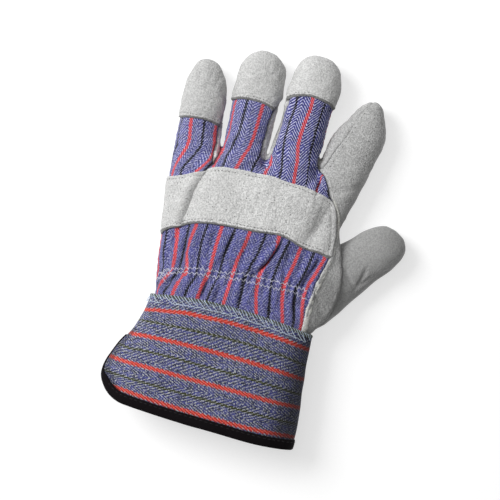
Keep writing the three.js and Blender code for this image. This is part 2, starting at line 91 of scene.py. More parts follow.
RING = [
    (42, -38.0, -4.0, -1, 34.0, 16, 16, 0),
    (65, -38.0, -4.2, -3, 32.4, 16, 16, 0),
    (75, -37.0, -6.6, -3, 31.5, 15, 15, 0),
    (90, -38.3, -6.9, -3, 30.0, 15, 15, 0),
    (108, -39.8, -6.8, -3, 28.6, 14, 14, 0),
    (115, -39.9, -7.6, -3, 27.8, 14, 14, 0),
    (122, -40.1, -8.7, -3, 27.2, 14, 14, 0),
    (129, -40.2, -8.6, -3, 26.8, 13, 13, 0),
    (137, -38.4, -9.6, -2, 25.0, 13, 13, 0),
    (141.6, -34.8, -13.0, 0.5, 22.6, 12, 12, 0),
    (144.2, -30.6, -17.4, 4, 19.0, 12, 12, 0),
    (145.6, -27.0, -21.4, 9, 14.6, 12, 12, 0),
]
MIDDLE = [
    (42, -8.0, 34.0, -1, 35.0, 17, 17, 0),
    (66, -6.6, 32.6, -3, 33.4, 16, 17, 0),
    (78, -4.5, 30.8, -3, 32.0, 16, 17, 0),
    (92, -3.6, 29.5, -3, 31.0, 15, 16, 0),
    (108, -3.6, 29.7, -3, 30.2, 14, 14, 0),
    (116, -3.5, 30.1, -3, 29.6, 14, 14, 0),
    (121, -3.2, 30.3, -3, 29.2, 14, 14, 0),
    (129, -2.8, 29.8, -3, 28.2, 13, 13, 0),
    (140, -2.6, 28.7, -2, 26.2, 13, 13, 0),
    (147.2, 0.6, 26.4, 1, 23.2, 12, 12, 0),
    (151, 4.8, 22.2, 4.5, 19.2, 12, 12, 0),
    (153, 9.4, 17.2, 9, 14.6, 12, 12, 0),
]
INDEX = [
    (34, 24.0, 57.0, -1, 27.0, 14, 14, 0),
    (52, 25.6, 59.8, -3, 28.0, 14, 14, 0),
    (66, 27.6, 63.4, -3, 28.0, 14, 14, 0),
    (80, 30.8, 66.6, -3, 27.8, 14, 13, 0),
    (94, 33.6, 69.2, -3, 27.0, 14, 13, 0),
    (103, 35.4, 70.8, -3, 26.4, 13, 13, 0),
    (111, 38.4, 70.9, -3, 25.6, 13, 13, 0),
    (120, 43.4, 68.6, -2, 24.4, 12, 12, 0),
    (127, 47.8, 65.4, 0.5, 22.0, 12, 12, 0),
    (131, 51.6, 62.6, 4, 19.0, 12, 12, 0),
    (132.8, 54.8, 59.6, 8.5, 15.4, 12, 12, 0),
]
# The thumb's sections are square to its own axis: x, y, half width, heading in degrees, bottom, top, edge.
THUMB = [
    (37, -25, 13.0, 50, 3, 20.0, 12),
    (44.6, -17.6, 20.8, 50, -1.5, 24.4, 12),
    (55.1, -6.9, 20.1, 50, -3, 25.4, 12),
    (65.2, 5.6, 19.0, 50, -3, 25.6, 12),
    (74.8, 18.2, 18.0, 51, -3, 25.5, 12),
    (83.2, 27.8, 17.3, 53, -3, 25.5, 12),
    (89.6, 35.6, 16.4, 53, -2.5, 25.2, 12),
    (94.9, 42.2, 13.6, 53, -1, 23.2, 12),
    (98.0, 46.2, 9.6, 53, 3, 19.6, 12),
    (99.6, 48.2, 4.4, 53, 8, 15.5, 12),
]
# The cuff's rings: y, left, right, top, and how far the ring's ends lag behind its middle at each side.
CUFF = [
    (-32.5, -56.0, 59.2, 38.2, 7.0, 4.2),
    (-46, -58.8, 60.8, 39.8, 7.1, 3.4),
    (-62, -63.4, 62.6, 41.8, 6.6, 1.8),
    (-78, -69.6, 64.3, 43.8, 4.8, 0),
    (-94, -75.0, 65.8, 45.6, 2.0, -1.8),
    (-108, -76.4, 66.9, 46.8, -0.8, -2.6),
    (-121, -75.6, 67.4, 47.4, -2.4, -3.4),
]
CUFF_EDGE = 22.0
CUFF_FLOOR = 1.35
HEM_Y = -120.6
HEM_RISE = 1.9
CORNER = (-51.0, -98.4, 25.2, 19.5)
# The cuff's slit on the little finger's side: y and half height.
SLIT = [(-72, 0), (-80, 1.0), (-92, 2.6), (-102, 5.4), (-110, 9.5), (-116, 14), (-124, 21)]

# Plan outlines of the pieces, seen from above.
BACK_OUTLINE = [
    (-62, -47), (-66, -20), (-76, 40), (-78, 97), (-44.0, 97), (-43.0, 87), (-42.4, 80), (-41.8, 72),
    (-41.5, 64), (-40.5, 60.5), (-39.3, 64), (-38.1, 70), (-39.4, 78), (-40.6, 90), (-43.6, 106),
    (-46, 119),
    (-10.2, 119), (-10.0, 100), (-9.8, 80), (-9.4, 75.6), (-7.2, 72.4), (-4.9, 73.4), (-3.5, 77),
    (-2.9, 90),
    (-2.6, 108), (-1.4, 118), (-1.4, 132), (36, 132), (33.5, 112), (30.4, 90), (30.1, 79.4), (32.6, 75.6),
    (36.5, 72.8), (41, 66.4), (47, 57.4), (51.6, 50), (54.3, 40), (55.6, 28), (55.4, 17), (53.4, 7),
    (51.6, -3), (50.8, -12), (50.6, -22), (51.4, -34), (51.4, -47),
]
STRAP_OUTLINE = [
    (-80, 39.5), (-69, 42.5), (-60, 45.6), (-50, 49.8), (-43, 54), (-36, 57.8), (-25, 59.6), (-10, 60.6),
    (0, 61.2), (15, 61.5), (30, 60.5), (40, 59), (47.4, 56.6), (51.4, 50), (53.9, 40), (55.1, 30),
    (55.4, 18.4),
    (48, 19.6), (40, 19.8), (32, 21), (25, 23.2), (18, 24), (10, 23.2), (0, 21.8), (-10, 21), (-20, 20.2),
    (-30, 18.9), (-38, 17), (-45, 14.4), (-50, 11.2), (-55, 9), (-59, 5.6), (-62.6, 1), (-80, -4),
]
INDEX_SIDE_OUTLINE = [
    (33.0, 77.2), (36.6, 85), (40, 95), (43.8, 105), (47, 115), (50.2, 124), (55.5, 133.2), (50, 139),
    (38, 120), (31, 103), (28.5, 90), (29.9, 80.4),
]
FINGER_FRONT_OUTLINE = [
    (-38.4, 64), (31.4, 64), (31.2, 72), (30.2, 79), (30.4, 90), (34, 110), (38, 160), (-46, 160),
    (-44.8, 119),
    (-42.2, 104), (-40.2, 90), (-39.2, 80), (-37.4, 70.5),
]
CAP_OUTLINES = {
    "little_fingertip_cap": [
        (-80, 82.6), (-71.9, 84.6), (-62.7, 86.4), (-55, 87.4), (-48, 86.8), (-42.4, 85.8), (-42.2, 94),
        (-42.4, 102),
        (-42, 112), (-44, 124), (-50, 134), (-80, 134),
    ],
    "ring_fingertip_cap": [
        (-44, 105), (-39.2, 106.6), (-32.2, 108.6), (-23, 109.4), (-15.7, 108.8), (-9.4, 106.4),
        (-7.6, 112),
        (-5, 120), (-2, 132), (-6, 150), (-44, 150),
    ],
    "middle_fingertip_cap": [
        (-3.0, 117.0), (1.9, 120.0), (7.9, 122.2), (13, 123), (19.8, 122.4), (25.8, 121.4),
        (29.7, 119.4), (38, 115),
        (38, 156), (-6, 156), (-9, 142), (-8, 128), (-4.8, 120),
    ],
}
# The ridge that the thumb's seam follows on the back, and how far it moves in towards the palm below.
THUMB_OUTLINE = [
    (59.6, 31), (61.9, 23.8), (65, 16.3), (67.5, 6.3), (68.4, -2.5), (68.1, -10), (66.3, -20),
    (63.1, -28.8),
    (59, -37), (59, -60), (130, -60), (130, 80), (92, 66), (64, 46), (58.6, 42),
]
THUMB_SEAM_SHIFT = 17.0

STRAP_CREASE = [(-44, 55), (-45, 50.6), (-48.8, 38.8), (-49.8, 28.8), (-50.3, 20), (-51.3, 10), (-52, 4)]
STRAP_DENT = [(47, 57), (45, 48), (42, 36), (38, 25), (36, 19)]
SHIRRING = [
    [(-59, -27), (-57, -25), (-50, -20), (-40, -16), (-30, -13), (-15, -11.5), (0, -8.5), (20, -7),
    (50, -7)],
    [(-58, -31), (-57, -29), (-50, -23), (-40, -19), (-30, -17), (-18, -15.5), (-5, -13.5), (10, -12),
    (25, -11.5),
     (40, -11), (50, -13.5)],
]
# Creases in the leather: plan line, depth, width, and whether they are on the back or under the palm.
CREASES = [
    ([(-66.6, 121), (-65.6, 116), (-65.4, 111)], 1.0, 1.6, True),
    ([(69, 13.5), (72, 9.6), (76, 6), (79, 2.6)], 1.3, 1.5, True),
    ([(83, 19.5), (82.4, 13.5), (81, 8), (79.6, 1.5)], 1.5, 1.6, True),
    ([(91.6, 15.8), (96, 19), (101, 22.5)], 1.3, 1.6, True),
    ([(87.4, 12.6), (84.6, 9), (81.6, 6)], 1.2, 1.5, True),
    ([(53, -8), (58, -14), (63, -22)], 0.9, 2.4, True),
    ([(34, 82), (44, 86), (62, 84)], 0.5, 2.4, True),
    ([(38, 101), (48, 104), (66, 101)], 0.4, 2.6, True),
    ([(-60, 52), (-30, 44), (10, 46), (50, 56)], 0.9, 2.0, False),
    ([(-58, 30), (-20, 34), (20, 28), (44, 6)], 0.8, 2.0, False),
    ([(20, -20), (24, 4), (36, 22), (56, 30)], 0.9, 2.2, False),
]
# The canvas back's stripes, red at whole numbers and near-black halfway: plan points, from the fingers down.
STRIPES = {
    0: [(-64, 90), (-62.5, 80), (-61, 72), (-61.3, 65), (-64, 57), (-66, 50), (-67.5, 40), (-66, 9),
        (-62, -10),
        (-58, -24), (-57, -30), (-55, -37)],
    0.5: [(-54.5, 90), (-52.8, 78), (-51.5, 70), (-54, 63), (-58, 55), (-60, 50), (-59, 9),
          (-56.5, -10), (-54, -20),
          (-56.2, -30), (-54.9, -37)],
    1: [(-45.5, 90), (-43.5, 75), (-42, 68), (-43, 61), (-47, 55), (-50, 51), (-52, 9), (-50, 0),
        (-48, -10),
        (-47.5, -18), (-50, -24), (-53, -31), (-54.5, -35)],
    1.5: [(-41.5, 90), (-40, 68), (-41.5, 60), (-44.5, 53), (-44.5, 12), (-43.5, 0), (-43, -18),
          (-46, -25), (-49, -35)],
    2: [(-39.2, 107), (-39, 95), (-38.4, 85), (-37.8, 75), (-38, 66), (-40, 60), (-39.5, 14), (-41, 5),
        (-41.5, -5),
        (-38.5, -13), (-37.5, -18), (-41, -25), (-42.5, -33)],
    2.5: [(-29.3, 109), (-28.8, 95), (-29, 85), (-31, 75), (-33, 68), (-33, 60), (-32, 17), (-33, 5),
          (-31.5, -8),
          (-30, -18), (-33, -27), (-34, -32)],
    3: [(-18, 108), (-18, 85), (-19, 77), (-21.5, 70), (-24, 60), (-22, 18), (-22.5, 5), (-22, -14),
        (-24, -22),
        (-25, -32)],
    3.5: [(-9, 108), (-8.6, 84), (-9.5, 74), (-12, 68), (-13.5, 60), (-13, 19), (-15, 5), (-15.5, -5),
          (-15, -13),
          (-17, -22), (-18, -32)],
    4: [(-4.5, 120), (-3.6, 90), (-3, 76), (-3.3, 68), (-3.5, 60), (-2.5, 20), (-3.5, 10), (-5.5, 0),
        (-6, -10),
        (-6.5, -32)],
    4.5: [(3.5, 119), (3.8, 110), (2.5, 100), (2.3, 90), (4, 80), (6.5, 70), (7, 62), (8.5, 21), (7, 8),
          (4.5, 0),
          (3, -10), (3.5, -20), (4, -32)],
    5: [(14, 124), (14.5, 115), (13.3, 105), (12.8, 97), (13, 88), (15.5, 78), (16.5, 68), (17.5, 61),
        (17.6, 21),
        (17.2, 15), (17.2, 10), (16.0, 6), (14.4, 1), (13.1, -4), (12.4, -9), (12.9, -16), (14.2, -22),
        (16, -28),
        (17.3, -32)],
    5.5: [(23.2, 124), (23.4, 112), (22.5, 100), (22.8, 88), (24, 78), (25.5, 68), (26.5, 60),
          (25.5, 20), (23.5, 10),
          (22, 0), (21.5, -10), (23, -18), (25.5, -28), (26, -32)],
    6: [(42, 124), (42, 88), (37, 78), (34.6, 72), (34.4, 66), (34.5, 60), (34.5, 19), (33, 8),
        (31, -3), (30.5, -10),
        (32.5, -20), (35.5, -30), (36.5, -33)],
    6.5: [(41, 90), (42, 64), (45, 58), (44, 17), (41, 0), (39, -8), (41, -18), (44, -30)],
    7: [(51, 90), (54, 58), (52, 16), (49, 5), (46.5, -3), (45.5, -12), (47, -20), (49.5, -30)],
}
BACK_PITCH = 19.5
# The deep tuck by the sixth red stripe: plan line, depth, width, and how far its left side hangs over it.
TUCK_PLEAT = ([(20.8, 22.5), (20.1, 19), (17.2, 9.8), (13.2, 1.4), (10.6, -3.8),
(6.6, -8.4)], 3.4, 1.5, 1.5)
TUCK_CLOTH = 3.9
# The cuff's stripes: number, and y at x of -60, -50, -30, 0, 20, 40 and 60.
CUFF_STRIPES = [
    (1, (-51.9, -49.1, -45, -43.1, -43.3, -44.4, -46.5)),
    (1.5, (-58.8, -57.5, -55.6, -53.8, -53.8, -54.8, -57.5)),
    (2, (-69.3, -67.9, -66.3, -65.3, -65.4, -66, -67.1)),
    (2.5, (-79.4, -78.1, -76.9, -76.5, -76.3, -76.8, -78)),
    (3, (-88.8, -88.4, -87.9, -87.5, -87.3, -87.3, -86.8)),
    (3.5, (-99.1, -99, -98.8, -98.4, -98.6, -98.8, -98.5)),
    (4, (-107.4, -108.0, -108.9, -109.4, -109.4, -108.9, -107.6)),
]
CUFF_STRIPE_X = (-60, -50, -30, 0, 20, 40, 60)
CUFF_PITCH = 22.0

# Folds of the gathered canvas: plan line, depth, width, and how far its left side hangs over it.
PLEATS = [
    ([(-45.5, 15), (-44.7, 8), (-43.7, -2), (-42.4, -15)], 1.5, 1.5, 0.6),
    ([(-57, 8), (-55, -4), (-52, -16)], 1.0, 1.8, 0.0),
    ([(-41, -20.5), (-44.6, -23.5), (-49.3, -30.4), (-50, -36)], 1.7, 1.8, 0.7),
    ([(-34.5, 16), (-34, 4), (-34.5, -9)], 0.9, 1.9, 0.0),
    ([(-20.3, -15.5), (-21.4, -20.5), (-22.6, -27), (-23.4, -34)], 2.1, 1.5, 1.2),
    ([(-33, -21), (-33.8, -27), (-33.5, -35)], 1.4, 1.5, 0.4),
    ([(-25, 18), (-26.5, 5), (-28, -10)], 0.8, 2.0, 0.0),
    ([(-12.6, 19), (-13.7, 14), (-14.8, 5.9), (-16.8, -7.5)], 1.7, 1.5, 0.8),
    ([(-10.5, -17), (-12, -25), (-13, -35)], 1.3, 1.7, 0.4),
    ([(-1.5, 19), (-2, 8), (-3, -5)], 0.9, 2.0, 0.0),
    ([(3.2, -12), (3.9, -19), (3.4, -27.7), (4.5, -36)], 1.6, 1.7, 0.6),
    ([(28.5, 20), (27, 8), (26.5, -5)], 1.1, 1.8, 0.3),
    ([(22.4, -13), (24, -22), (26.4, -34)], 1.4, 1.6, 0.4),
    ([(49.2, 19), (47.6, 12), (44.6, 3), (41.6, -8)], 1.8, 1.7, 0.9),
    ([(38.2, 18), (37, 6), (35.8, -6)], 0.9, 1.7, 0.2),
    ([(39.3, -13), (41.4, -20), (44.6, -32)], 1.5, 1.6, 0.4),
    ([(-37.5, 66), (-40.5, 60), (-43, 54)], 1.5, 1.7, 0.4),
    ([(-3.5, 70), (-8.5, 62), (-10, 58)], 0.8, 2.2, 0.0),
    ([(34.6, 73), (34.3, 66), (34.0, 57)], 2.0, 1.4, 0.6),
]
PLEAT_DEPTH = 0.8

# The line that the gathers spread from, across the back.
GATHER_LINE = [
    (-57, -27), (-50, -21.5), (-40, -17.5), (-30, -15), (-15, -13.4), (0, -11), (20, -9.4),
    (47, -10),
]
INDEX_SEAM = [(36.6, 77), (38.3, 79), (41.6, 90), (44.7, 100), (48.4, 112), (51.4, 122), (55, 131)]
INDEX_ROW = [(38.3, 79), (41.6, 90), (44.7, 100), (48.4, 112), (51.4, 122), (54.8, 129.5)]
# A patch's painted light and shade across the hand: x, and how much lighter it is painted there.
PATCH_PAINTED_SHADING = [(-60, -0.12), (-20, 0.02), (15, 0.07), (30, 0.02), (50, -0.13)]
# Where the strap's outline turns back along the cuff's side, and how many points each cap's cut edge has.
STRAP_LOW_START = 16
CAP_FREE_POINTS = {"little_fingertip_cap": 6, "ring_fingertip_cap": 6, "middle_fingertip_cap": 8}
CAP_ROW_START = {"little_fingertip_cap": -71.5, "ring_fingertip_cap": -39.5, "middle_fingertip_cap": -1.0}
CAP_ROW_INSET = 2.6
STRAP_ROWS = [
    [(-66, 41.1), (-60, 43.4), (-50, 47.6), (-43, 51.6), (-36, 55.3), (-25, 57.4), (-10, 58.4), (0, 59),
     (15, 59.3), (30, 58.3), (40, 56.8), (47, 54), (51, 47), (52.4, 38), (53.0, 28), (53.0, 22.5)],
    [(-60.5, 7.6), (-56, 11.6), (-50, 14.2), (-45, 17.4), (-38, 20.0), (-30, 21.9), (-20, 23.2), (-10, 24),
     (0, 24.8), (10, 26.2), (18, 27), (25, 26.2), (32, 24), (40, 22.8), (48, 22.6), (52.4, 22.2)],
]
# The cuff's tape: its section, inwards and up, and its size by the distance from the slit's end.
HEM_INSET = 1.2
HEM_STEP = 1.3
TAPE_WIDTH = 6.2
TAPE_ROW_INSET = 4.7
TAPE_NARROW = [(0, 0.12), (15, 0.2), (27, 0.3), (33, 0.6), (40, 0.95), (48, 1.0)]
TAPE_PROFILE = [
    (6.2, 0.05), (6.4, 0.35), (6.2, 0.75), (5.0, 0.95), (3.0, 1.05), (1.1, 1.0), (-0.2, 0.85), (-0.9, 0.2),
    (-1.15, -0.85), (-0.9, -1.9), (-0.2, -2.5), (1.1, -2.6), (3.0, -2.65), (5.0, -2.55), (6.2, -2.35),
    (6.4, -2.05), (6.2, -1.75), (3.6, -1.75), (0.3, -1.72), (0.12, -0.85), (0.3, 0.03), (3.6, 0.05),
]
# The raw edge of the palm leather by the thumb: plan line, and section.
LIP = [
    (46.5, 60.2), (50.2, 54.8), (53.6, 49), (55.9, 41), (57.1, 30), (56.9, 18), (55.1, 8), (53.2, -2),
    (52.2, -12), (51.9, -22), (52.6, -33), (52.6, -40),
]
LIP_PROFILE = [(1.25, -0.5), (1.2, 0.35), (0.8, 0.85), (0, 0.95), (-0.8, 0.8), (-1.15, 0.3), (-1.2, -0.5)]
# One stitch: share of its length, height as a share of its rise, and thickness.
STITCH = [
    (0, -1.5, 0.6), (0.14, -0.2, 0.9), (0.32, 0.75, 1.0), (0.5, 1.0, 1.0), (0.68, 0.75, 1.0),
    (0.86, -0.2, 0.9), (1.0, -1.5, 0.6),
]
# The camera is over this point of the tables' frame. Its height, and the width that it sees at a distance, are
# metres, and its turn is degrees.
CAMERA_OVER = (1.05, 9.04)
CAMERA_HEIGHT = 1.42
CAMERA_TURN = 16
VIEW_WIDTH = 0.35
VIEW_DISTANCE = 1.4
SENSOR = 36


# Numbers and fields on plain arrays


def smooth(t):
    t = np.clip(t, 0, 1)
    return t * t * (3 - 2 * t)


def bell(distance, width):
    return np.exp(-((distance / width) ** 2))


def unit(v):
    return v / np.maximum(np.linalg.norm(v, axis=1), 1e-9)[:, None]


def fading(share, margin, power=0.5):
    """1 along the middle of a line, falling towards its two ends."""
    return np.sin(math.pi * np.clip(share, margin, 1 - margin)) ** power


def length_along(points):
    return np.concatenate([[0], np.cumsum(np.linalg.norm(np.diff(points, axis=0), axis=1))])


def points_at(at, run, points):
    """The points of a line at other distances along it."""
    return np.stack([np.interp(at, run, column) for column in points.T], 1)


def cubic(u, a, b, leaving, arriving):
    """The smooth curve from a to b with these slopes, at u from 0 to 1."""
    return (
        (2 * u**3 - 3 * u**2 + 1) * a
        + (u**3 - 2 * u**2 + u) * leaving
        + (-2 * u**3 + 3 * u**2) * b
        + (u**3 - u**2) * arriving
    )


def through(t, values, at):
    """A table's values at other places, along a smooth curve through its rows."""
    t, values = np.asarray(t, float), np.asarray(values, float)
    slope = np.gradient(values, t, axis=0)
    k = np.clip(np.searchsorted(t, at) - 1, 0, len(t) - 2)
    h = (t[k + 1] - t[k])[:, None]
    return cubic((at - t[k])[:, None] / h, values[k], values[k + 1], slope[k] * h, slope[k + 1] * h)


def rounded(outline, per=6):
    """The closed outline with a smooth curve through its points."""
    p1 = np.asarray(outline, float)
    p0, p2, p3 = np.roll(p1, 1, 0), np.roll(p1, -1, 0), np.roll(p1, -2, 0)
    a, b, c = (np.linalg.norm(q - p, axis=1)[:, None] ** 0.5 for p, q in ((p0, p1), (p1, p2), (p2, p3)))
    leaving = ((p2 - p1) / b - (p2 - p0) / (a + b) + (p1 - p0) / a) * b
    arriving = ((p3 - p2) / c - (p3 - p1) / (b + c) + (p2 - p1) / b) * b
    u = (np.arange(per) / per)[:, None, None]
    return cubic(u, p1, p2, leaving, arriving).transpose(1, 0, 2).reshape(-1, 2)


def signed(points, outline):
    """Distance in plan from each point to a closed outline, negative inside."""
    x, y = points[:, 0], points[:, 1]
    best = np.full(len(points), 1e18)
    inside = np.zeros(len(points), bool)
    for a, b in zip(outline, np.roll(outline, -1, axis=0)):
        e = b - a
        w = points[:, :2] - a
        t = np.clip((w @ e) / max(e @ e, 1e-12), 0, 1)
        best = np.minimum(best, ((w - t[:, None] * e) ** 2).sum(1))
        if a[1] != b[1]:
            crosses = (a[1] > y) != (b[1] > y)
            inside ^= crosses & (x < a[0] + (y - a[1]) * e[0] / (b[1] - a[1]))
    return np.where(inside, -1, 1) * np.sqrt(best)


def beside(p, line):
    """Distance to the left of an open plan line as it runs, share of the way along it, and distance from it.
    A line that runs from the fingers to the cuff has the thumb on its left."""
    line = np.asarray(line, float)
    run = length_along(line)
    best = np.full(len(p), 1e18)
    side, share = np.zeros(len(p)), np.zeros(len(p))
    for k in range(len(line) - 1):
        e = line[k + 1] - line[k]
        w = p[:, :2] - line[k]
        t = np.clip((w @ e) / (e @ e), 0, 1)
        gap = np.linalg.norm(w - t[:, None] * e, axis=1)
        near = gap < best
        side = np.where(near, np.sign(e[0] * w[:, 1] - e[1] * w[:, 0]) * gap, side)
        share = np.where(near, (run[k] + t * (run[k + 1] - run[k])) / run[-1], share)
        best = np.minimum(best, gap)
    return side, share, best


def waves(p, length, seed, count=8):
    """A smooth random field, mostly within 1 of zero."""
    rng = np.random.default_rng(seed)
    total = np.zeros(len(p))
    for _ in range(count):
        way = rng.normal(size=3)
        way /= np.linalg.norm(way)
        turn = 2 * math.pi / (length * rng.uniform(0.7, 1.4))
        total += np.sin(p @ way * turn + rng.uniform(0, 2 * math.pi))
    return total / math.sqrt(count)


# Meshes: each is a dict of arrays with a row for each point, and t, its triangles


def normals_of(v, t):
    n = np.zeros_like(v)
    face = np.cross(v[t[:, 1]] - v[t[:, 0]], v[t[:, 2]] - v[t[:, 0]])
    for k in range(3):
        np.add.at(n, t[:, k], face)
    return unit(n)


def compact(mesh):
    """The mesh without the points that no triangle uses."""
    used = np.unique(mesh["t"])
    renumber = np.full(len(mesh["v"]), -1)
    renumber[used] = np.arange(len(used))
    out = {name: values[used] for name, values in mesh.items() if name != "t"}
    out["t"] = renumber[mesh["t"]]
    return out


def split(mesh, key, level, keep=False):
    """Cuts a mesh's triangles along a field's level. With keep, what lies above the level stays too."""
    f = mesh[key] - level
    f = np.where(np.abs(f) < 1e-6, -1e-6, f)
    t = mesh["t"]
    count = (f[t] > 0).sum(1)
    crossed = (count == 1) | (count == 2)
    mixed = t[crossed]
    tip_above = count[crossed] == 1
    lone = np.where(tip_above[:, None], f[mixed] > 0, f[mixed] <= 0).argmax(1)
    a, b, c = (mixed[np.arange(len(mixed)), (lone + k) % 3] for k in range(3))
    edges = np.sort(np.concatenate([np.stack([a, b], 1), np.stack([a, c], 1)]), 1)
    edges, back = np.unique(edges, axis=0, return_inverse=True)
    back = back.reshape(-1)
    i, j = edges.T
    u = np.clip(f[i] / (f[i] - f[j]), 0.02, 0.98)
    n = len(mesh["v"])
    out = {}
    for name, values in mesh.items():
        if name != "t":
            w = u.reshape((-1,) + (1,) * (values.ndim - 1))
            out[name] = np.concatenate([values, values[i] * (1 - w) + values[j] * w])
    out[key][n:] = level
    ab, ac = n + back[: len(mixed)], n + back[len(mixed):]
    tip = np.stack([a, ab, ac], 1)
    base = np.concatenate([np.stack([ab, b, c], 1), np.stack([ab, c, ac], 1)])
    base_above = np.concatenate([~tip_above, ~tip_above])
    parts = [t[count == 0], tip[~tip_above], base[~base_above]]
    if keep:
        parts += [t[count == 3], tip[tip_above], base[base_above]]
    out["t"] = np.concatenate(parts)
    return compact(out)


def rim_edges(t):
    """The directed edges that only one triangle has."""
    e = np.concatenate([t[:, [0, 1]], t[:, [1, 2]], t[:, [2, 0]]]).astype(np.int64)
    size = t.max() + 1
    return e[~np.isin(e[:, 0] * size + e[:, 1], e[:, 1] * size + e[:, 0])]


def loops_of(t):
    """The rim's edges as ordered loops of point numbers."""
    following = {int(a): int(b) for a, b in rim_edges(t)}
    loops = []
    while following:
        first = next(iter(following))
        loop, at = [first], following.pop(first)
        while at != first and at in following:
            loop.append(at)
            at = following.pop(at)
        loops.append(loop)
    return sorted(loops, key=len, reverse=True)


def main_part(mesh):
    """The mesh without the small islands that a cut leaves."""
    t = mesh["t"]
    label = np.arange(len(mesh["v"]))
    while True:
        low = label[t].min(1)
        new = label.copy()
        for k in range(3):
            np.minimum.at(new, t[:, k], low)
        new = new[new]
        if (new == label).all():
            break
        label = new
    island = label[t[:, 0]]
    names, counts = np.unique(island, return_counts=True)
    return compact({**mesh, "t": t[np.isin(island, names[counts > 0.05 * counts.max()])]})


def shell(mesh, top, bottom):
    """A closed wall between two offsets along the normals. Each may differ from point to point."""
    v, n, t = mesh["v"], mesh["n"], mesh["t"]
    count = len(v)
    a, b = rim_edges(t).T
    walls = [np.stack([b, a, a + count], 1), np.stack([b, a + count, b + count], 1)]
    out = {name: np.concatenate([x, x]) for name, x in mesh.items() if name != "t"}
    out["v"] = np.concatenate([v + n * np.broadcast_to(h, count)[:, None] for h in (top, bottom)])
    out["t"] = np.concatenate([t, t[:, ::-1] + count, *walls])
    return out


# The hand's surface


def ring(
    angles, x, y, half, heading, bottom, top, left_edge, right_edge, floor=0.0, left_lag=0.0, right_lag=0.0,
):
    """A rounded section square to its heading. The edges are the heights of its widest points."""
    across = np.sign(np.cos(angles)) * np.abs(np.cos(angles)) ** (2 / SQUARENESS)
    up = np.abs(np.sin(angles)) ** (2 / SQUARENESS)
    edge = left_edge + (right_edge - left_edge) * (across + 1) / 2
    lag = np.where(across < 0, left_lag, right_lag) * across**2
    z = np.where(np.sin(angles) >= 0, edge + (top - edge) * up, edge - (edge - bottom) * up)
    s, c = math.sin(math.radians(heading)), math.cos(math.radians(heading))
    x, y = x + half * across * s - lag * c, y - half * across * c - lag * s
    return np.stack([x, y, np.maximum(z, floor)], 1)


def wrapped(rows, count):
    """The triangles of rows of points that each close on themselves."""
    t = []
    for i in range(rows - 1):
        for j in range(count):
            a, b = i * count + j, i * count + (j + 1) % count
            t += [(a, a + count, b), (b, a + count, b + count)]
    return t


def tube(rings):
    """Points and triangles of a closed solid through rings of points."""
    count = len(rings[0])
    v = list(np.concatenate(rings))
    t = wrapped(len(rings), count)
    for end, start, flip in ((rings[0], 0, 1), (rings[-1], (len(rings) - 1) * count, -1)):
        v.append(end.mean(0))
        t += [(len(v) - 1, start + j, start + (j + 1) % count)[::flip] for j in range(count)]
    return np.array(v), np.array(t)


def limb(rows):
    """A finger or the hand, through sections across it."""
    rows = np.array(rows, float)
    at = np.append(np.arange(rows[0, 0], rows[-1, 0], SECTION_STEP), rows[-1, 0])
    rings = []
    for y, (left, right, *others) in zip(at, through(rows[:, 0], rows[:, 1:], at)):
        rings.append(ring(HAND_ANGLES, (left + right) / 2, y, (right - left) / 2, 90, *others))
    return tube(rings)


def thumb_limb():
    rows = np.array(THUMB, float)
    run = length_along(rows[:, :2])
    at = np.append(np.arange(0, run[-1], SECTION_STEP), run[-1])
    return tube([ring(HAND_ANGLES, *row, row[-1]) for row in through(run, rows, at)])


def remeshed(parts):
    """The parts' union as one even surface."""
    starts = np.cumsum([0] + [len(v) for v, _ in parts[:-1]])
    data = bpy.data.meshes.new("hand_form")
    points = np.concatenate([v for v, _ in parts])
    triangles = np.concatenate([t + start for (_, t), start in zip(parts, starts)])
    data.from_pydata(points.tolist(), [], triangles.tolist())
    obj = bpy.data.objects.new("hand_form", data)
    bpy.context.collection.objects.link(obj)
    mod = obj.modifiers.new("even", "REMESH")
    mod.mode = "VOXEL"
    mod.voxel_size = VOXEL
    mod.adaptivity = 0
    done = obj.evaluated_get(bpy.context.evaluated_depsgraph_get()).to_mesh()
    done.calc_loop_triangles()
    points = np.empty(len(done.vertices) * 3)
    done.vertices.foreach_get("co", points)
    triangles = np.empty(len(done.loop_triangles) * 3, np.int32)
    done.loop_triangles.foreach_get("vertices", triangles)
    obj.to_mesh_clear()
    bpy.data.objects.remove(obj)
    bpy.data.meshes.remove(data)
    return points.reshape(-1, 3), triangles.reshape(-1, 3)


def relaxed(v, t, times):
    """The surface with each point drawn halfway to its neighbours' mean, some times over."""
    a, b = np.unique(np.sort(np.concatenate([t[:, [0, 1]], t[:, [1, 2]], t[:, [2, 0]]]), 1), axis=0).T
    count = np.bincount(np.concatenate([a, b]), minlength=len(v))[:, None]
    for _ in range(times):
        sums = [np.bincount(a, v[b, k], len(v)) + np.bincount(b, v[a, k], len(v)) for k in range(3)]
        total = np.stack(sums, 1)
        v = v + 0.5 * (total / np.maximum(count, 1) - v)
    return v


def numbered(value, lines, names, pitch):
    """The stripe number at each value, between lines whose own values rise with their numbers."""
    lines = np.maximum.accumulate(lines + np.arange(lines.shape[1]) * 1e-3, axis=1)
    k = np.clip((value[:, None] >= lines).sum(1) - 1, 0, len(names) - 2)
    rows = np.arange(len(value))
    low, high = lines[rows, k], lines[rows, k + 1]
    names = np.asarray(names, float)
    inside = names[k] + (value - low) / np.maximum(high - low, 0.5) * (names[k + 1] - names[k])
    before = names[0] + (value - lines[:, 0]) / pitch
    after = names[-1] + (value - lines[:, -1]) / pitch
    return np.where(value < lines[:, 0], before, np.where(value > lines[:, -1], after, inside))


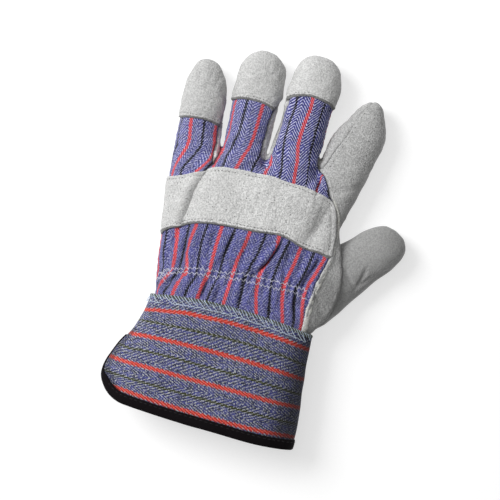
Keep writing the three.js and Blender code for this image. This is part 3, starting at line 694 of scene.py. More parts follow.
def back_weave(p, n):
    """The canvas back's weave map, which is stripe number and millimetres along the warp, and the space between
    stripes. Where the cloth turns down at a finger's side the stripes go on at their own pitch."""
    x, y = p[:, 0], p[:, 1]
    lines = [np.array(line, float)[::-1] for line in STRIPES.values()]
    lines = np.stack([np.interp(y, line[:, 1], line[:, 0]) for line in lines], 1)
    number = numbered(x, lines, list(STRIPES), BACK_PITCH)
    onward = numbered(x + 0.6, lines, list(STRIPES), BACK_PITCH)
    lean = np.arctan2(n[:, 0], np.maximum(n[:, 2], 0.02))
    web = np.exp(-(((x - 31) / 7) ** 2) - ((y - 70) / 9) ** 2)
    extra = 13.0 * (lean - np.sin(lean)) / BACK_PITCH * (1 - web)
    middle_edge = smooth((y - 74) / 6) * smooth((x + 6) / 1.5) * smooth((3 - x) / 3)
    number += middle_edge * np.maximum(4.5 - (2.6 - x) / BACK_PITCH - number, 0)
    rate = np.cos(lean) * (onward - number) / 0.6 + (1 - np.cos(lean)) / BACK_PITCH
    side, share, away = beside(p, TUCK_PLEAT[0])
    hidden = 0.5 * TUCK_CLOTH / BACK_PITCH * np.tanh(side / 0.45) * bell(away, 4) * fading(share, 0)
    spacing = np.clip(1 / np.maximum(rate, 1e-3), 8, 30) * (1 + 2.4 * web)
    return np.stack([number + extra + hidden, y], 1), spacing


def pleated(p, over):
    """The canvas's folds: how far they rise, how far they lean to the right, and how deep they are, which sets
    the painted shade in their valleys.
    """
    rise, lean, hollow = np.zeros((3, len(p)))
    for line, depth, width, hang in [*PLEATS, TUCK_PLEAT]:
        side, share, away = beside(p, line)
        fade = PLEAT_DEPTH * over * fading(share, 0.03, 0.55) * (away < 6 * width)
        fade = fade * (1 + 0.3 * waves(p, 9, 7))
        valley = bell(side, np.where(side > 0, 1.25 * width, 0.8 * width))
        rise += fade * depth * (0.55 * bell(side + 1.9 * width, 1.25 * width) - valley)
        lean += fade * hang * bell(side + 0.9 * width, 0.9 * width)
        hollow += fade * depth * bell(side, 0.75 * width)
    return rise, lean, hollow


def gathered(p):
    """How far the canvas back rises and sinks where the elastic gathers it."""
    x, y = p[:, 0], p[:, 1]
    d = y - np.interp(x, *np.array(GATHER_LINE).T)
    reach = np.where(d > 0, smooth(1 - d / 27), smooth(1 + d / 25) * 0.85)
    drift = 0.9 * waves(p * [1, 0.35, 0], 31, 3)
    fold = math.pi * (x - 0.16 * d + 3 * drift) / 12.6
    big = 1 - 2 * np.abs(np.sin(fold)) + 0.4 * np.cos(2 * fold)
    small = np.cos(2 * math.pi * (x + 0.1 * d + 2.2 * drift) / 5.3)
    close = bell(d, 7.5)
    rise = reach * (0.4 * big * (1 - 0.55 * close) + 0.62 * small * (0.35 + close)) + 0.5 * bell(d, 4.5)
    for line in SHIRRING:
        rise -= 0.75 * bell(beside(p, line)[2], 1.15)
    return rise


def on_the_back(p, n):
    return smooth((n[:, 2] - 0.05) / 0.5) * smooth((p[:, 2] - 16) / 6)


def relief(p, n):
    """How far the hand's surface rises along its normal, before it is cut into pieces."""
    x, y, z = p.T
    over, aloft = on_the_back(p, n), smooth((z - 1.0) / 6)
    rise = aloft * (0.42 * waves(p, 30, 5) + 0.16 * waves(p, 11, 6))
    side, share, _ = beside(p, STRAP_CREASE)
    swell = bell(side + 2.6, np.where(side < -2.6, 4.5, 1.7))
    dip = bell(side - 0.9, np.where(side < 0.9, 1.3, 5.0))
    rise += over * fading(share, 0.06) * (1.5 * swell - 2.0 * dip)
    _, share, away = beside(p, STRAP_DENT)
    rise -= 3.3 * over * bell(away, 6.0) * fading(share, 0.1, 1)
    rise += over * (x < BACK_EDGE_X) * smooth((20 - y) / 6) * gathered(p)
    rise += 0.5 * over * smooth((y - 58) / 6) * smooth((92 - y) / 16) * waves(p * [0.45, 1, 0], 8.5, 9)
    rise += 0.12 * smooth((y - 70) / 10) * aloft * waves(p * [0.6, 1, 1], 6.5, 12)
    for line, depth, width, on_back in CREASES:
        _, share, away = beside(p, line)
        face = smooth(n[:, 2] / 0.4) if on_back else smooth((8 - z) / 3) * smooth(-n[:, 2] / 0.4)
        rise -= face * depth * bell(away, width) * fading(share, 0.05)
    return rise


def seam_z(x):
    """The height of the seam between the back and the palm at the hand's sides."""
    return SIDE_SEAM_Z + (THUMB_SIDE_SEAM_Z - SIDE_SEAM_Z) * smooth((x - THUMB_SIDE_X + 4) / 6)


hand_v, hand_t = remeshed([*map(limb, (BODY, LITTLE, RING, MIDDLE, INDEX)), thumb_limb()])
hand_v = relaxed(hand_v, hand_t, 7)
hand_n = normals_of(hand_v, hand_t)
rest = hand_v.copy()
x, y, z = rest.T
# The folds' depth in their valleys is kept to darken the canvas's colour there, as painted shade.
pleat_rise, pleat_lean, hollow = pleated(rest, on_the_back(rest, hand_n) * (x < BACK_EDGE_X))
hand_v = hand_v + hand_n * (relief(rest, hand_n) + pleat_rise)[:, None]
hand_v[:, 0] += pleat_lean
hand_v[:, 2] = np.maximum(hand_v[:, 2], 0.0)
hand = {"v": hand_v, "n": normals_of(hand_v, hand_t), "rest": rest, "hollow": hollow, "t": hand_t}
above = BVHTree.FromPolygons(hand_v.tolist(), hand_t.tolist())

# Fields over the hand: each is negative inside its region, in millimetres.
wrist = WRIST_Y - y
in_back = np.maximum(signed(rest, rounded(BACK_OUTLINE)), seam_z(x) - z)
in_index_side = np.maximum(signed(rest, rounded(INDEX_SIDE_OUTLINE)), INDEX_SEAM_Z - z)
in_fronts = signed(rest, rounded(FINGER_FRONT_OUTLINE))
thumb_shift = THUMB_SEAM_SHIFT * smooth(1 - z / 22) * smooth((y + 46) / 26)
in_thumb = signed(np.stack([x + thumb_shift, y], 1), rounded(THUMB_OUTLINE))
in_caps = {}
for name, outline in CAP_OUTLINES.items():
    in_caps[name] = np.maximum(signed(rest, rounded(outline)), SIDE_SEAM_Z - z)


def cut(field, levels=(-1.5, -0.7, -0.25)):
    """The hand's surface where a field is below zero, with rows of points near its edge. d is the way in."""
    mesh = {**hand, "f": field}
    for level in levels:
        mesh = split(mesh, "f", level, keep=True)
    mesh = main_part(split(mesh, "f", 0.0))
    mesh["d"] = -mesh.pop("f")
    return mesh


def seam_dip(d, depth=1.5, width=1.7):
    """Two pieces roll down into the seam between them, with a low swelling beside it."""
    share = 1 - np.clip(d / width, 0, 1)
    return -depth * (1 - np.sqrt(np.clip(1 - share**2, 0, 1))) + 0.2 * bell(d - width - 0.8, 1.3)


def puckers(p, d, pitch, size=0.2, reach=3.5):
    """Small waves that a seam's stitches pull up beside it."""
    run = p[:, 1] + 0.7 * p[:, 0]
    return size * np.exp(-d / reach) * np.cos(2 * math.pi * run / pitch + 1.3 * waves(p, 17, 21))


# The cuff's surface


def cuff_surface():
    """The cuff's outer surface as a grid round it and along it, open at both ends."""
    rows = np.array(CUFF, float)[::-1]
    at = np.linspace(rows[0, 0], rows[-1, 0], 76)
    angles = np.linspace(0, 2 * math.pi, 289)[:-1] - math.pi / 2
    v = []
    for y, (left, right, top, *lags) in zip(at, through(rows[:, 0], rows[:, 1:], at)):
        middle, half = (left + right) / 2, (right - left) / 2
        v.append(ring(angles, middle, y, half, 90, -2, top, CUFF_EDGE, CUFF_EDGE, CUFF_FLOOR, *lags))
    v = np.array(v)
    steps = np.linalg.norm(np.diff(np.concatenate([v, v[:, :1]], 1), axis=1), axis=2)
    around = np.concatenate([np.zeros((len(at), 1)), np.cumsum(steps, 1)[:, :-1]], 1)
    v = v.reshape(-1, 3)
    t = np.array(wrapped(len(at), len(angles)))[:, ::-1]
    n = normals_of(v, t)
    if (n * (v - v.mean(0)))[:, 2].sum() < 0:
        t, n = t[:, ::-1], -n
    x, y, z = v.T
    ruffle = np.exp(-np.abs(CUFF[0][0] - y) / 5) * np.cos(2 * math.pi * x / 9.5 + waves(v, 20, 33))
    rise = 0.75 * waves(v * [0.7, 1, 1], 46, 31) + 0.22 * waves(v, 17, 32) + 0.35 * ruffle
    rise = smooth((z - 1.4) / 6) * (rise - 0.35 * bell(y + 38.8, 1.2))
    risen = v + n * rise[:, None]
    return {"v": risen, "n": normals_of(risen, t), "rest": v, "round": around.reshape(-1), "t": t}


def hem_field(p, inset):
    """Negative on the cuff's cloth: inside the hem, its round corner and the slit, moved in by inset."""
    x, y, z = p.T
    _, left, right, _, left_lag, right_lag = CUFF[-1]
    across = np.clip((x - (left + right) / 2) / ((right - left) / 2), -1.1, 1.1)
    lag = np.where(across < 0, left_lag, right_lag) * across**2
    hem = HEM_Y + inset + HEM_RISE * smooth((52 - x) / 50) - lag - y
    corner_x, corner_y, radius_x, radius_y = np.array(CORNER) - [0, 0, inset, inset]
    dx, dy = (x - corner_x) / radius_x, (y - corner_y) / radius_y
    corner = np.where((dx < 0) & (dy < 0), (np.hypot(dx, dy) - 1) * min(radius_x, radius_y), -20)
    half_gap = np.interp(y, *np.array(SLIT[::-1], float).T)
    slit = np.minimum(half_gap - np.abs(z - CUFF_EDGE), SLIT[0][0] - y) + inset * 0.6
    return np.maximum(np.maximum(hem, corner), np.where(x < -20, slit, -20))


# Threads, tape and other long thin pieces


def evened(points, step, closed=False):
    """A line with its points about a step apart."""
    points = np.asarray(points, float)
    if closed:
        points = np.concatenate([points, points[:1]])
    run = length_along(points)
    out = points_at(np.linspace(0, run[-1], max(int(round(run[-1] / step)), 2) + 1), run, points)
    return out[:-1] if closed else out


def curve_through(points, step=1.0):
    """A smooth open plan curve through a table's points."""
    run = length_along(np.asarray(points, float))
    return evened(through(run, points, np.linspace(0, run[-1], max(int(run[-1] / step), 8))), step)


def draped(plan, lift):
    """A plan line laid on the back of the hand: points lifted along the normals there, and the normals."""
    hits = [above.ray_cast(Vector((x, y, 150)), Vector((0, 0, -1)))[:2] for x, y in plan]
    hits = [(point, normal if normal.z >= 0 else -normal) for point, normal in hits if point is not None]
    points, ups = np.array([p for p, _ in hits]), np.array([n for _, n in hits])
    for _ in range(3):
        ups[1:-1] = (ups[:-2] + 2 * ups[1:-1] + ups[2:]) / 4
    ups = unit(ups)
    return points + ups * lift, ups


def rows_of(plan, lift, step=1.0):
    return draped(curve_through(plan, step), lift)


def swept(points, ups, profile, closed=False, scale=1.0):
    """A profile swept along a path. A profile's first number is to the path's left and its second is up."""
    if closed:
        along = unit(np.roll(points, -1, 0) - np.roll(points, 1, 0))
    else:
        along = unit(np.gradient(points, axis=0))
    left = unit(np.cross(ups, along))
    up = np.cross(along, left)
    k, m = len(points), len(profile)
    grown = np.asarray(profile, float) * np.broadcast_to(scale, (k, 2))[:, None]
    v = (points[:, None] + left[:, None] * grown[..., :1] + up[:, None] * grown[..., 1:]).reshape(-1, 3)
    i, j = np.meshgrid(np.arange(k if closed else k - 1), np.arange(m), indexing="ij")
    a, b = i * m + j, i * m + (j + 1) % m
    c, d = ((i + 1) % k) * m + j, ((i + 1) % k) * m + (j + 1) % m
    t = [np.stack([a, c, b], -1).reshape(-1, 3), np.stack([b, c, d], -1).reshape(-1, 3)]
    if not closed:
        q, last = np.arange(1, m - 1), (k - 1) * m
        t += [np.stack([0 * q, q + 1, q], 1), np.stack([0 * q, q, q + 1], 1) + last]
    t = np.concatenate(t)[:, ::-1]
    w = v - points.mean(0)
    volume = (np.cross(w[t[:, 0]], w[t[:, 1]]) * w[t[:, 2]]).sum()
    return {"v": v, "t": t if volume > 0 else t[:, ::-1]}


def circle(radius, sides):
    a = np.arange(sides) * 2 * math.pi / sides
    return np.stack([radius * np.cos(a), radius * np.sin(a)], 1)


def thread(steps, radius, closed=False):
    """A thread through steps, each a point and the normal there."""
    return swept(np.array([p for p, _ in steps]), np.array([u for _, u in steps]), circle(radius, 5), closed)


def joined(meshes):
    starts = np.cumsum([0] + [len(mesh["v"]) for mesh in meshes[:-1]])
    t = np.concatenate([mesh["t"] + start for mesh, start in zip(meshes, starts)])
    return {"v": np.concatenate([mesh["v"] for mesh in meshes]), "t": t}


def stitches(points, ups, length, gap, radius, rise=0.15, slant=0.0):
    """A row of stitches along a path: each one dips into the surface at both ends."""
    run = length_along(points)
    shares, heights, widths = np.array(STITCH).T
    out = []
    start = 0.4
    while start + length < run[-1]:
        long = length * RNG.uniform(0.88, 1.1)
        at = np.clip(start + long * shares, 0, run[-1])
        p, u = points_at(at, run, points), points_at(at, run, ups)
        way = p[-1] - p[0]
        side = np.cross(u[3], way / max(np.linalg.norm(way), 1e-9))
        p = p + side * np.linspace(-1, 1, 7)[:, None] * (slant + RNG.normal(0, 0.06))
        p = p + u * (heights * rise)[:, None]
        out.append(swept(p, u, circle(radius, 6), scale=widths[:, None]))
        start += long + gap * RNG.uniform(0.85, 1.2)
    return joined(out)


def zigzag(plan, lift, pitch, width, radius, seed):
    """A slightly uneven zigzag row of stitches across a line. It dips into the cloth at its corners."""
    rng = np.random.default_rng(seed)
    line = curve_through(plan, 0.6)
    way = unit(np.gradient(line, axis=0))
    run = length_along(line)
    place = np.concatenate([line, -way[:, 1:], way[:, :1]], 1)
    corners = []
    for k, at in enumerate(np.arange(0.5, run[-1] - 0.5, pitch / 2)):
        reach = (1 if k % 2 else -1) * width * rng.uniform(0.4, 1.35)
        px, py, side_x, side_y = points_at([at + rng.normal(0, pitch * 0.12)], run, place)[0]
        corners.append(np.array([px + reach * side_x, py + reach * side_y]))
    fine = [a * (1 - u) + b * u for a, b in zip(corners[:-1], corners[1:]) for u in (0, 0.33, 0.67)]
    path, ups = draped(fine, lift)
    path[::3] -= 0.34 * ups[::3]
    return swept(path, ups, circle(radius, 5))


def along_rim(points, ups, into):
    """A function from millimetres along a closed rim, inwards and up to a point and its normal."""
    rim = np.concatenate([points, ups, into], 1)
    rim = np.concatenate([rim, rim[:1]])
    run = length_along(rim[:, :3])

    def at(s, inwards, lift):
        row = points_at([s % run[-1]], run, rim)[0]
        return row[:3] + row[6:] * inwards + row[3:6] * lift, row[3:6]

    return at, run[-1]


def whipped(at, length, pitch, start, depth, slant, radius, seed):
    """Short slanting threads wrapped over a cloth's raw edge, one in each pitch from start."""
    rng = np.random.default_rng(seed)
    out = []
    for k in range(int(length / pitch)):
        s = start + k * pitch + rng.normal(0, pitch * 0.07)
        deep = depth * rng.uniform(0.8, 1.2)
        stations = [
            (-0.1, 0.5, -CUFF_CLOTH - 0.2), (-0.05, -0.4, -0.8), (0.06, 0.05, 0.2), (0.35, deep * 0.35, 0.34),
            (0.7, deep * 0.7, 0.26), (1.0, deep, -0.15),
        ]
        steps = [at(s + slant * share, inwards, lift) for share, inwards, lift in stations]
        out.append(thread(steps, radius))
    return joined(out)


def looped(at, length, pitch, depth, slant, radius, seed):
    """Long slanting threads from a cloth's edge down to the chain that runs along their feet."""
    rng = np.random.default_rng(seed)
    out, feet = [], []
    for k in range(int(length / pitch)):
        s = k * pitch + rng.normal(0, pitch * 0.08)
        deep = depth * rng.uniform(0.9, 1.08)
        steps = []
        for share in np.linspace(0, 1, 8):
            steps.append(at(s + slant * share, deep * share**0.85, 0.3 + 0.14 * math.sin(math.pi * share)))
        out.append(thread(steps, radius))
        for share in (0.0, 0.33, 0.67):
            wave = 0.35 * math.sin(2 * math.pi * share) + rng.normal(0, 0.1)
            feet.append(at(s + slant + share * pitch, depth + wave, 0.28))
    return joined([*out, thread(feet, radius, closed=True)])


# Materials


class Value:
    """An output in a material's graph, for sums with numbers and with other outputs."""

    def __init__(self, graph, socket):
        self.graph, self.socket = graph, socket

    def __add__(self, other):
        return self.graph.math("ADD", self, other)

    def __sub__(self, other):
        return self.graph.math("SUBTRACT", self, other)

    def __rsub__(self, other):
        return self.graph.math("SUBTRACT", other, self)

    def __mul__(self, other):
        return self.graph.math("MULTIPLY", self, other)

    def __truediv__(self, other):
        return self.graph.math("DIVIDE", self, other)

    __radd__, __rmul__ = __add__, __mul__


class Graph:
    """A material's nodes, with one short call for each kind."""

    def __init__(self, name):
        self.material = bpy.data.materials.new(name)
        self.material.use_nodes = True
        self.tree = self.material.node_tree
        self.shader = self.tree.nodes["Principled BSDF"]
        self.mm = self.vector("SCALE", self.node("TexCoord", "Object"), Scale=1000.0)

    def put(self, socket, value):
        if isinstance(value, Value):
            self.tree.links.new(value.socket, socket)
        else:
            socket.default_value = (*value, 1) if socket.type == "RGBA" else value

    def node(self, kind, output, inputs=(), **settings):
        """One output of a new node with these settings and inputs."""
        node = self.tree.nodes.new("ShaderNode" + kind)
        for key, value in settings.items():
            setattr(node, key, value)
        for key, value in dict(inputs).items():
            self.put(node.inputs[key], value)
        return Value(self, node.outputs[output])

    def math(self, operation, *values):
        return self.node("Math", 0, enumerate(values), operation=operation)

    def vector(self, operation, *values, **inputs):
        return self.node("VectorMath", 0, {**dict(enumerate(values)), **inputs}, operation=operation)

    def step(self, value, low, high, to_low=0.0, to_high=1.0):
        keys = ("Value", "From Min", "From Max", "To Min", "To Max")
        inputs = zip(keys, (value, low, high, to_low, to_high))
        return self.node("MapRange", 0, inputs, interpolation_type="SMOOTHSTEP")

    def mix(self, share, a, b, blend="MIX"):
        inputs = {"Factor": share, "A": a, "B": b}
        return self.node("Mix", "Result", inputs, data_type="RGBA", blend_type=blend)

    def noise(self, wavelength, detail=2.0, rough=0.5, vector=None, stretch=None):
        vector = self.mm if vector is None else vector
        if stretch:
            vector = self.vector("MULTIPLY", vector, stretch)
        inputs = {"Vector": vector, "Scale": 1.0 / wavelength, "Detail": detail, "Roughness": rough}
        return self.node("TexNoise", "Fac", inputs)

    def cells(self, wavelength):
        return self.node("TexVoronoi", "Distance", {"Vector": self.mm, "Scale": 1.0 / wavelength})

    def attribute(self, name):
        return self.node("Attribute", "Fac", attribute_name=name)

    def gray(self, level):
        return self.node("CombineColor", 0, {0: level, 1: level, 2: level})

    def bump(self, height, millimetres, strength=0.85, after=None):
        inputs = {"Strength": strength, "Distance": millimetres * 0.001, "Height": height}
        if after is not None:
            inputs["Normal"] = after
        return self.node("Bump", "Normal", inputs)

    def seam_shade(self):
        """Painted shade close to a sewn edge: the colour is darkened where the seam's groove lies in shadow."""
        return self.step(self.attribute("seam"), 0.0, 1.3, 0.5, 1.0)

    def finish(self, color, roughness, normal=None, sheen=0.0, sheen_tint=(1, 1, 1), specular=0.25):
        inputs = {
            "Base Color": color, "Roughness": roughness, "Sheen Weight": sheen, "Sheen Roughness": 0.55,
            "Sheen Tint": sheen_tint, "Specular IOR Level": specular,
        }
        if normal is not None:
            inputs["Normal"] = normal
        for key, value in inputs.items():
            self.put(self.shader.inputs[key], value)
        return self.material


def toned(color, share, more=0.0):
    return tuple(min(share * c + more, 1) for c in color)


def suede(name, tone, tint=(1.0, 1.0, 0.99), speck=0.5, rough=1.0):
    """Split leather: a pebbled matt nap with cloudy brushing and small dark pits.
    The mesh's seam and cut_edge numbers are the distances to a sewn edge and to the slanted cut edge on the
    cuff's side, where the colour is darkened as painted shade. The last of its numbers is painted light and
    shade: how much lighter or darker than the rest the leather is coloured there."""
    g = Graph(name)
    cloud = g.step(g.noise(17, 3, 0.55), 0.3, 0.7)
    nap = g.step(g.noise(1.02, 1, 0.6), 0.36, 0.64)
    grain = g.step(g.noise(1.4, 3, 0.75), 0.33, 0.67)
    pits = (1.0 - g.step(g.cells(1.8), 0.12, 0.28)) * g.step(g.noise(3.6, 2, 0.6), 0.46, 0.60)
    level = 1.0 + 0.07 * (cloud - 0.5) + 0.32 * rough * (nap - 0.5)
    level = level + 0.10 * rough * (grain - 0.5) - speck * pits
    # Painted shade along the seams and along the slanted cut edge on the cuff's side, which faces away from the
    # lamp. Painted light and shade also come from the mesh's last number.
    painted_edge_shade = g.step(0.35 * nap + g.attribute("cut_edge"), 1.25, 1.8, 0.38, 1.0)
    level = level * g.seam_shade() * painted_edge_shade * (g.attribute("painted_shading") + 1.0)
    color = g.mix(1.0, toned(tint, tone), g.gray(level), "MULTIPLY")
    normal = g.bump(nap, 0.20 * rough)
    normal = g.bump(grain - 0.8 * pits, 0.14 * rough, after=normal)
    return g.finish(color, g.step(cloud, 0.0, 1.0, 0.88, 0.97), normal, 0.2, (0.95, 0.95, 0.95))


def herringbone(
    name, pitch, blue, deep, pale, red, dark, low, high, red_half, dark_half, twill, slope, column, shift,
    broken, clear, faint, uneven,
):
    """Striped herringbone cloth. Its stripes are one pitch apart, red at whole numbers and dark halfway.
    A pale weft shows over the blue warp, from low to high, in a twill that turns at each column. Noise breaks
    the twill, less so by clear towards the fingers, and below them the weft is fainter, by faint.
    The weave map holds the stripe's number and the millimetres along the stripe. The mesh's seam number is
    the distance to a sewn edge, near which painted shade darkens the cloth. The painted shade number is how
    much painted shade darkens it, by a fold's depth on the back and towards the thumb's side on the cuff.
    Spacing is the millimetres between stripes, and where soft is higher the twill is blurred by wear."""
    g = Graph(name)
    weave = {0: g.node("UVMap", 0, uv_map="weave")}
    number, run = g.node("SeparateXYZ", 0, weave), g.node("SeparateXYZ", 1, weave)
    across = number * pitch
    cloth = g.node("CombineXYZ", 0, {0: across, 1: run})
    wander = 2.2 * (g.noise(9, 2, 0.5, cloth) - 0.5)
    lean = column * slope * g.math("PINGPONG", number * (pitch / column) + shift, 1.0)
    turn = (run + lean + wander) * (2 * math.pi / twill)
    ridge = 0.5 * g.math("COSINE", turn) + 0.5
    plain = g.math("COSINE", across * (2 * math.pi / 0.62)) * g.math("COSINE", run * (2 * math.pi / 0.58))
    fleck = g.step(g.noise(1.05, 3, 0.8, cloth), 0.33, 0.67)
    blot = g.step(g.noise(7.0, 3, 0.6, cloth, (1.0, 0.5, 1.0)), 0.3, 0.7)
    far_up = g.step(run, 15.0, 65.0)
    broken = far_up * ((clear - 1) * broken) + broken
    raised = ridge + (fleck - 0.5) * broken + 0.16 * (blot - 0.5) + 0.1 * plain
    weft = g.mix(g.attribute("soft"), g.gray(g.step(raised, low, high)), g.gray(g.step(fleck, 0.15, 1.45)))
    ground = g.mix(g.step(g.noise(2.0, 3, 0.6, cloth, (1.0, 0.4, 1.0)), 0.35, 0.65), deep, blue)
    strand = 0.8 * fleck + ridge
    ragged = uneven * (strand - 0.9)
    near = g.math("PINGPONG", number, 0.5)
    spacing = g.attribute("spacing")
    is_red = g.step(near * spacing + ragged, red_half - 0.2, red_half + 0.25, 1.0, 0.0)
    is_dark = g.step((0.5 - near) * spacing + ragged, dark_half - 0.25, dark_half + 0.35, 1.0, 0.0)
    strand = g.step(strand, 0.2, 1.5)
    red_tone = g.mix(strand, toned(red, 0.45), toned(red, 1.12, 0.02))
    dark_tone = g.mix(strand, toned(dark, 0.5), toned(dark, 1.8))
    warp = g.mix(is_dark, g.mix(is_red, ground, red_tone), dark_tone)
    share = weft * (1.0 - 0.84 * is_red) * (1.0 - 0.86 * is_dark) * ((1 - faint) * far_up + faint)
    # Painted shade: darker by the seams, in the valleys of the folds, and on the cuff towards the thumb's side.
    shade = g.seam_shade() * g.step(g.attribute("hollow"), 0.2, 2.3, 1.0, 0.25)
    color = g.mix(1.0, g.mix(share, warp, pale), g.gray(shade), "MULTIPLY")
    height = 0.4 * fleck + 0.16 * plain + 0.7 * ridge
    return g.finish(color, 0.92, g.bump(height, 0.34), 0.08, (0.8, 0.85, 1.0))


def yarn(name, tone, thread=0.4, sheen=0.1):
    """Plain woven tape or twisted thread, with fine ribs and a little lint."""
    g = Graph(name)
    ribs = g.noise(thread, 2, 0.6, stretch=(1.0, 0.4, 1.0))
    lint = g.step(g.noise(1.7, 3, 0.75), 0.66, 0.78)
    shade = g.mix(g.step(ribs, 0.3, 0.7), toned(tone, 0.7), toned(tone, 1.15))
    color = g.mix(0.25 * lint, shade, toned(tone, 1.6, 0.05))
    return g.finish(color, 0.9, g.bump(ribs, 0.18, 0.7), sheen, specular=0.1)


CAP_SUEDE = suede("suede_caps", 0.53, speck=0.4)
STRAP_SUEDE = suede("suede_strap", 0.60, speck=0.75, rough=1.1)
PALM_SUEDE = suede("suede_palm", 0.435, speck=0.5, rough=1.3)
# The thumb's darker tone is partly the leather's own and partly painted shade, since the thumb lies lower than
# the back of the hand.
THUMB_SUEDE = suede("suede_thumb", 0.31, speck=0.2, rough=0.8)
RAW_EDGE = suede("suede_edge", 0.56, (1.0, 0.995, 0.94), speck=0.2)
BACK_CLOTH = herringbone(
    "canvas_back", BACK_PITCH,
    blue=(0.062, 0.064, 0.285), deep=(0.024, 0.026, 0.120), pale=(0.66, 0.66, 0.88),
    red=(0.76, 0.072, 0.086), dark=(0.006, 0.006, 0.009), low=0.62, high=1.02, red_half=1.2, dark_half=0.85,
    twill=2.35, slope=1.2, column=7.8, shift=0.25, broken=1.1, clear=0.5, faint=0.66, uneven=0.62,
)
SAFETY_CUFF_CLOTH = herringbone(
    "canvas_cuff", CUFF_PITCH,
    blue=(0.050, 0.055, 0.225), deep=(0.020, 0.022, 0.050), pale=(0.50, 0.51, 0.52),
    red=(0.69, 0.051, 0.029), dark=(0.045, 0.050, 0.020), low=0.62, high=1.31, red_half=1.4, dark_half=0.8,
    twill=3.7, slope=1.9, column=9.9, shift=-0.333, broken=1.85, clear=1.0, faint=1.0, uneven=0.95,
)
BLACK_TAPE = yarn("tape_black", (0.005, 0.0035, 0.0045), 0.45, sheen=0.0)
WHITE_THREAD = yarn("thread_white", (0.66, 0.66, 0.76))
# The grey thread is darker than the real light thread: its tone is painted shade for the needle holes along the
# rows.
GREY_THREAD = yarn("thread_grey", (0.11, 0.11, 0.105))
PALE_BLUE_THREAD = yarn("thread_pale_blue", (0.46, 0.54, 0.66))
DARK_THREAD = yarn("thread_dark", (0.012, 0.010, 0.012))
LONG_THREAD = yarn("thread_light_blue", (0.62, 0.72, 0.86))
OLIVE_THREAD = yarn("thread_olive", (0.075, 0.085, 0.04))


# The pieces


def add(name, mesh, material, nodes=(), sharp=50, numbers=()):
    """Makes a Blender object of a mesh, with its weave map if it has one, and with the numbers named."""
    v, t = (mesh["v"] - ORIGIN) * 0.001, mesh["t"]
    data = bpy.data.meshes.new(name)
    data.vertices.add(len(v))
    data.vertices.foreach_set("co", np.ascontiguousarray(v, np.float32).ravel())
    data.loops.add(3 * len(t))
    data.loops.foreach_set("vertex_index", np.ascontiguousarray(t, np.int32).ravel())
    data.polygons.add(len(t))
    data.polygons.foreach_set("loop_start", np.arange(len(t), dtype=np.int32) * 3)
    data.update(calc_edges=True)
    data.validate()
    data.polygons.foreach_set("use_smooth", np.ones(len(data.polygons), bool))
    if "weave" in mesh:
        layer = data.uv_layers.new(name="weave")
        layer.data.foreach_set("uv", np.ascontiguousarray(mesh["weave"][t.reshape(-1)], np.float32).ravel())
    for key in numbers:
        layer = data.attributes.new(key, "FLOAT", "POINT")
        layer.data.foreach_set("value", np.ascontiguousarray(mesh[key], np.float32))
    data.set_sharp_from_angle(angle=math.radians(sharp))
    obj = bpy.data.objects.new(name, data)
    bpy.context.collection.objects.link(obj)
    data.materials.append(material)
    if nodes:
        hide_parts(*nodes)
    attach(obj, "root")


LEATHER_NUMBERS = ("seam", "cut_edge", "painted_shading")
CLOTH_NUMBERS = ("seam", "hollow", "spacing", "soft")

# The index finger's seam on the back is shallow, and by the thumb the palm leather stands up as a ridge.
hand["shallow"] = smooth(1 - (beside(rest, INDEX_SEAM)[2] - 2) / 3) * smooth((z - 9) / 4)
hand["ridge"] = smooth((z - 18) / 5) * smooth((40 - y) / 8) * smooth((y + 30) / 8) * (x > 50)


def leather(name, field, material, node):
    """A piece of leather cut from the hand's surface, with its edges rolled into its seams."""
    mesh = cut(field)
    p, d, ridge, shallow = mesh["rest"], mesh["d"], mesh["ridge"], mesh["shallow"]
    x, y, _ = p.T
    # The seam number sets the painted shade along the seams. It is fainter by the shallow index seam and on the
    # ridge.
    mesh["seam"] = d + np.maximum(0.6 * shallow, ridge)
    mesh["cut_edge"] = np.full(len(p), FAR)
    # Painted light on the finger sides in the narrow gaps between the fingers, where shade falls, and painted
    # shade on the palm towards the cuff.
    between = bell(x + 5, 6.5) + bell(x + 41, 6.5)
    mesh["painted_shading"] = 0.9 * between * smooth((y - 60) / 10) * smooth((132 - y) / 14)
    if node == "palm":
        mesh["painted_shading"] -= 0.32 * smooth((14 - y) / 18)
    top = seam_dip(d) * (1 - 0.72 * shallow) + puckers(p, d, 6.5)
    top = top + ridge * bell(d, 2.2) * (0.2 if node == "thumb" else 1.5)
    off_floor = np.maximum(smooth((mesh["v"][:, 2] - 0.6) / 3), d < 3)
    top = np.where(mesh["n"][:, 2] < -0.6, np.minimum(top, 0), top) * off_floor
    wall = shell(mesh, top, np.minimum(top, 0) - LEATHER)
    add(name, wall, material, [node], numbers=LEATHER_NUMBERS)


leather("palm_leather", np.maximum.reduce(
    [wrist, -in_back, -in_index_side, -in_fronts, -in_thumb, -in_caps["little_fingertip_cap"]]
), PALM_SUEDE, "palm")
leather("middle_fingers_leather", np.maximum.reduce(
    [in_fronts, -in_back, -in_index_side, -in_caps["ring_fingertip_cap"], -in_caps["middle_fingertip_cap"]]
), PALM_SUEDE, "middle_finger_fronts")
leather("index_side_leather", np.maximum(in_index_side, -in_back), PALM_SUEDE, "index_side")
leather("thumb_leather", np.maximum(in_thumb, wrist), THUMB_SUEDE, "thumb")

back = cut(np.maximum(in_back, wrist))
back["weave"], back["spacing"] = back_weave(back["rest"], back["n"])
# The seam number sets the painted shade along the canvas's sewn edges.
back["seam"] = back["d"]
back_x, back_y, _ = back["rest"].T
on_middle, on_fingers = smooth((back_x + 12) / 8), smooth((back_y - 50) / 12)
on_middle = on_middle * on_fingers
back["soft"] = 0.5 - 0.45 * on_middle - 0.1 * smooth((back_x + 44) / 8) * on_fingers * (1 - on_middle)
back_top = seam_dip(back["d"], 1.1, 1.3) + puckers(back["rest"], back["d"], 5.0)
back = shell(back, back_top, np.minimum(back_top, 0) - CANVAS)
add("canvas_back", back, BACK_CLOTH, ["back_canvas"], numbers=CLOTH_NUMBERS)


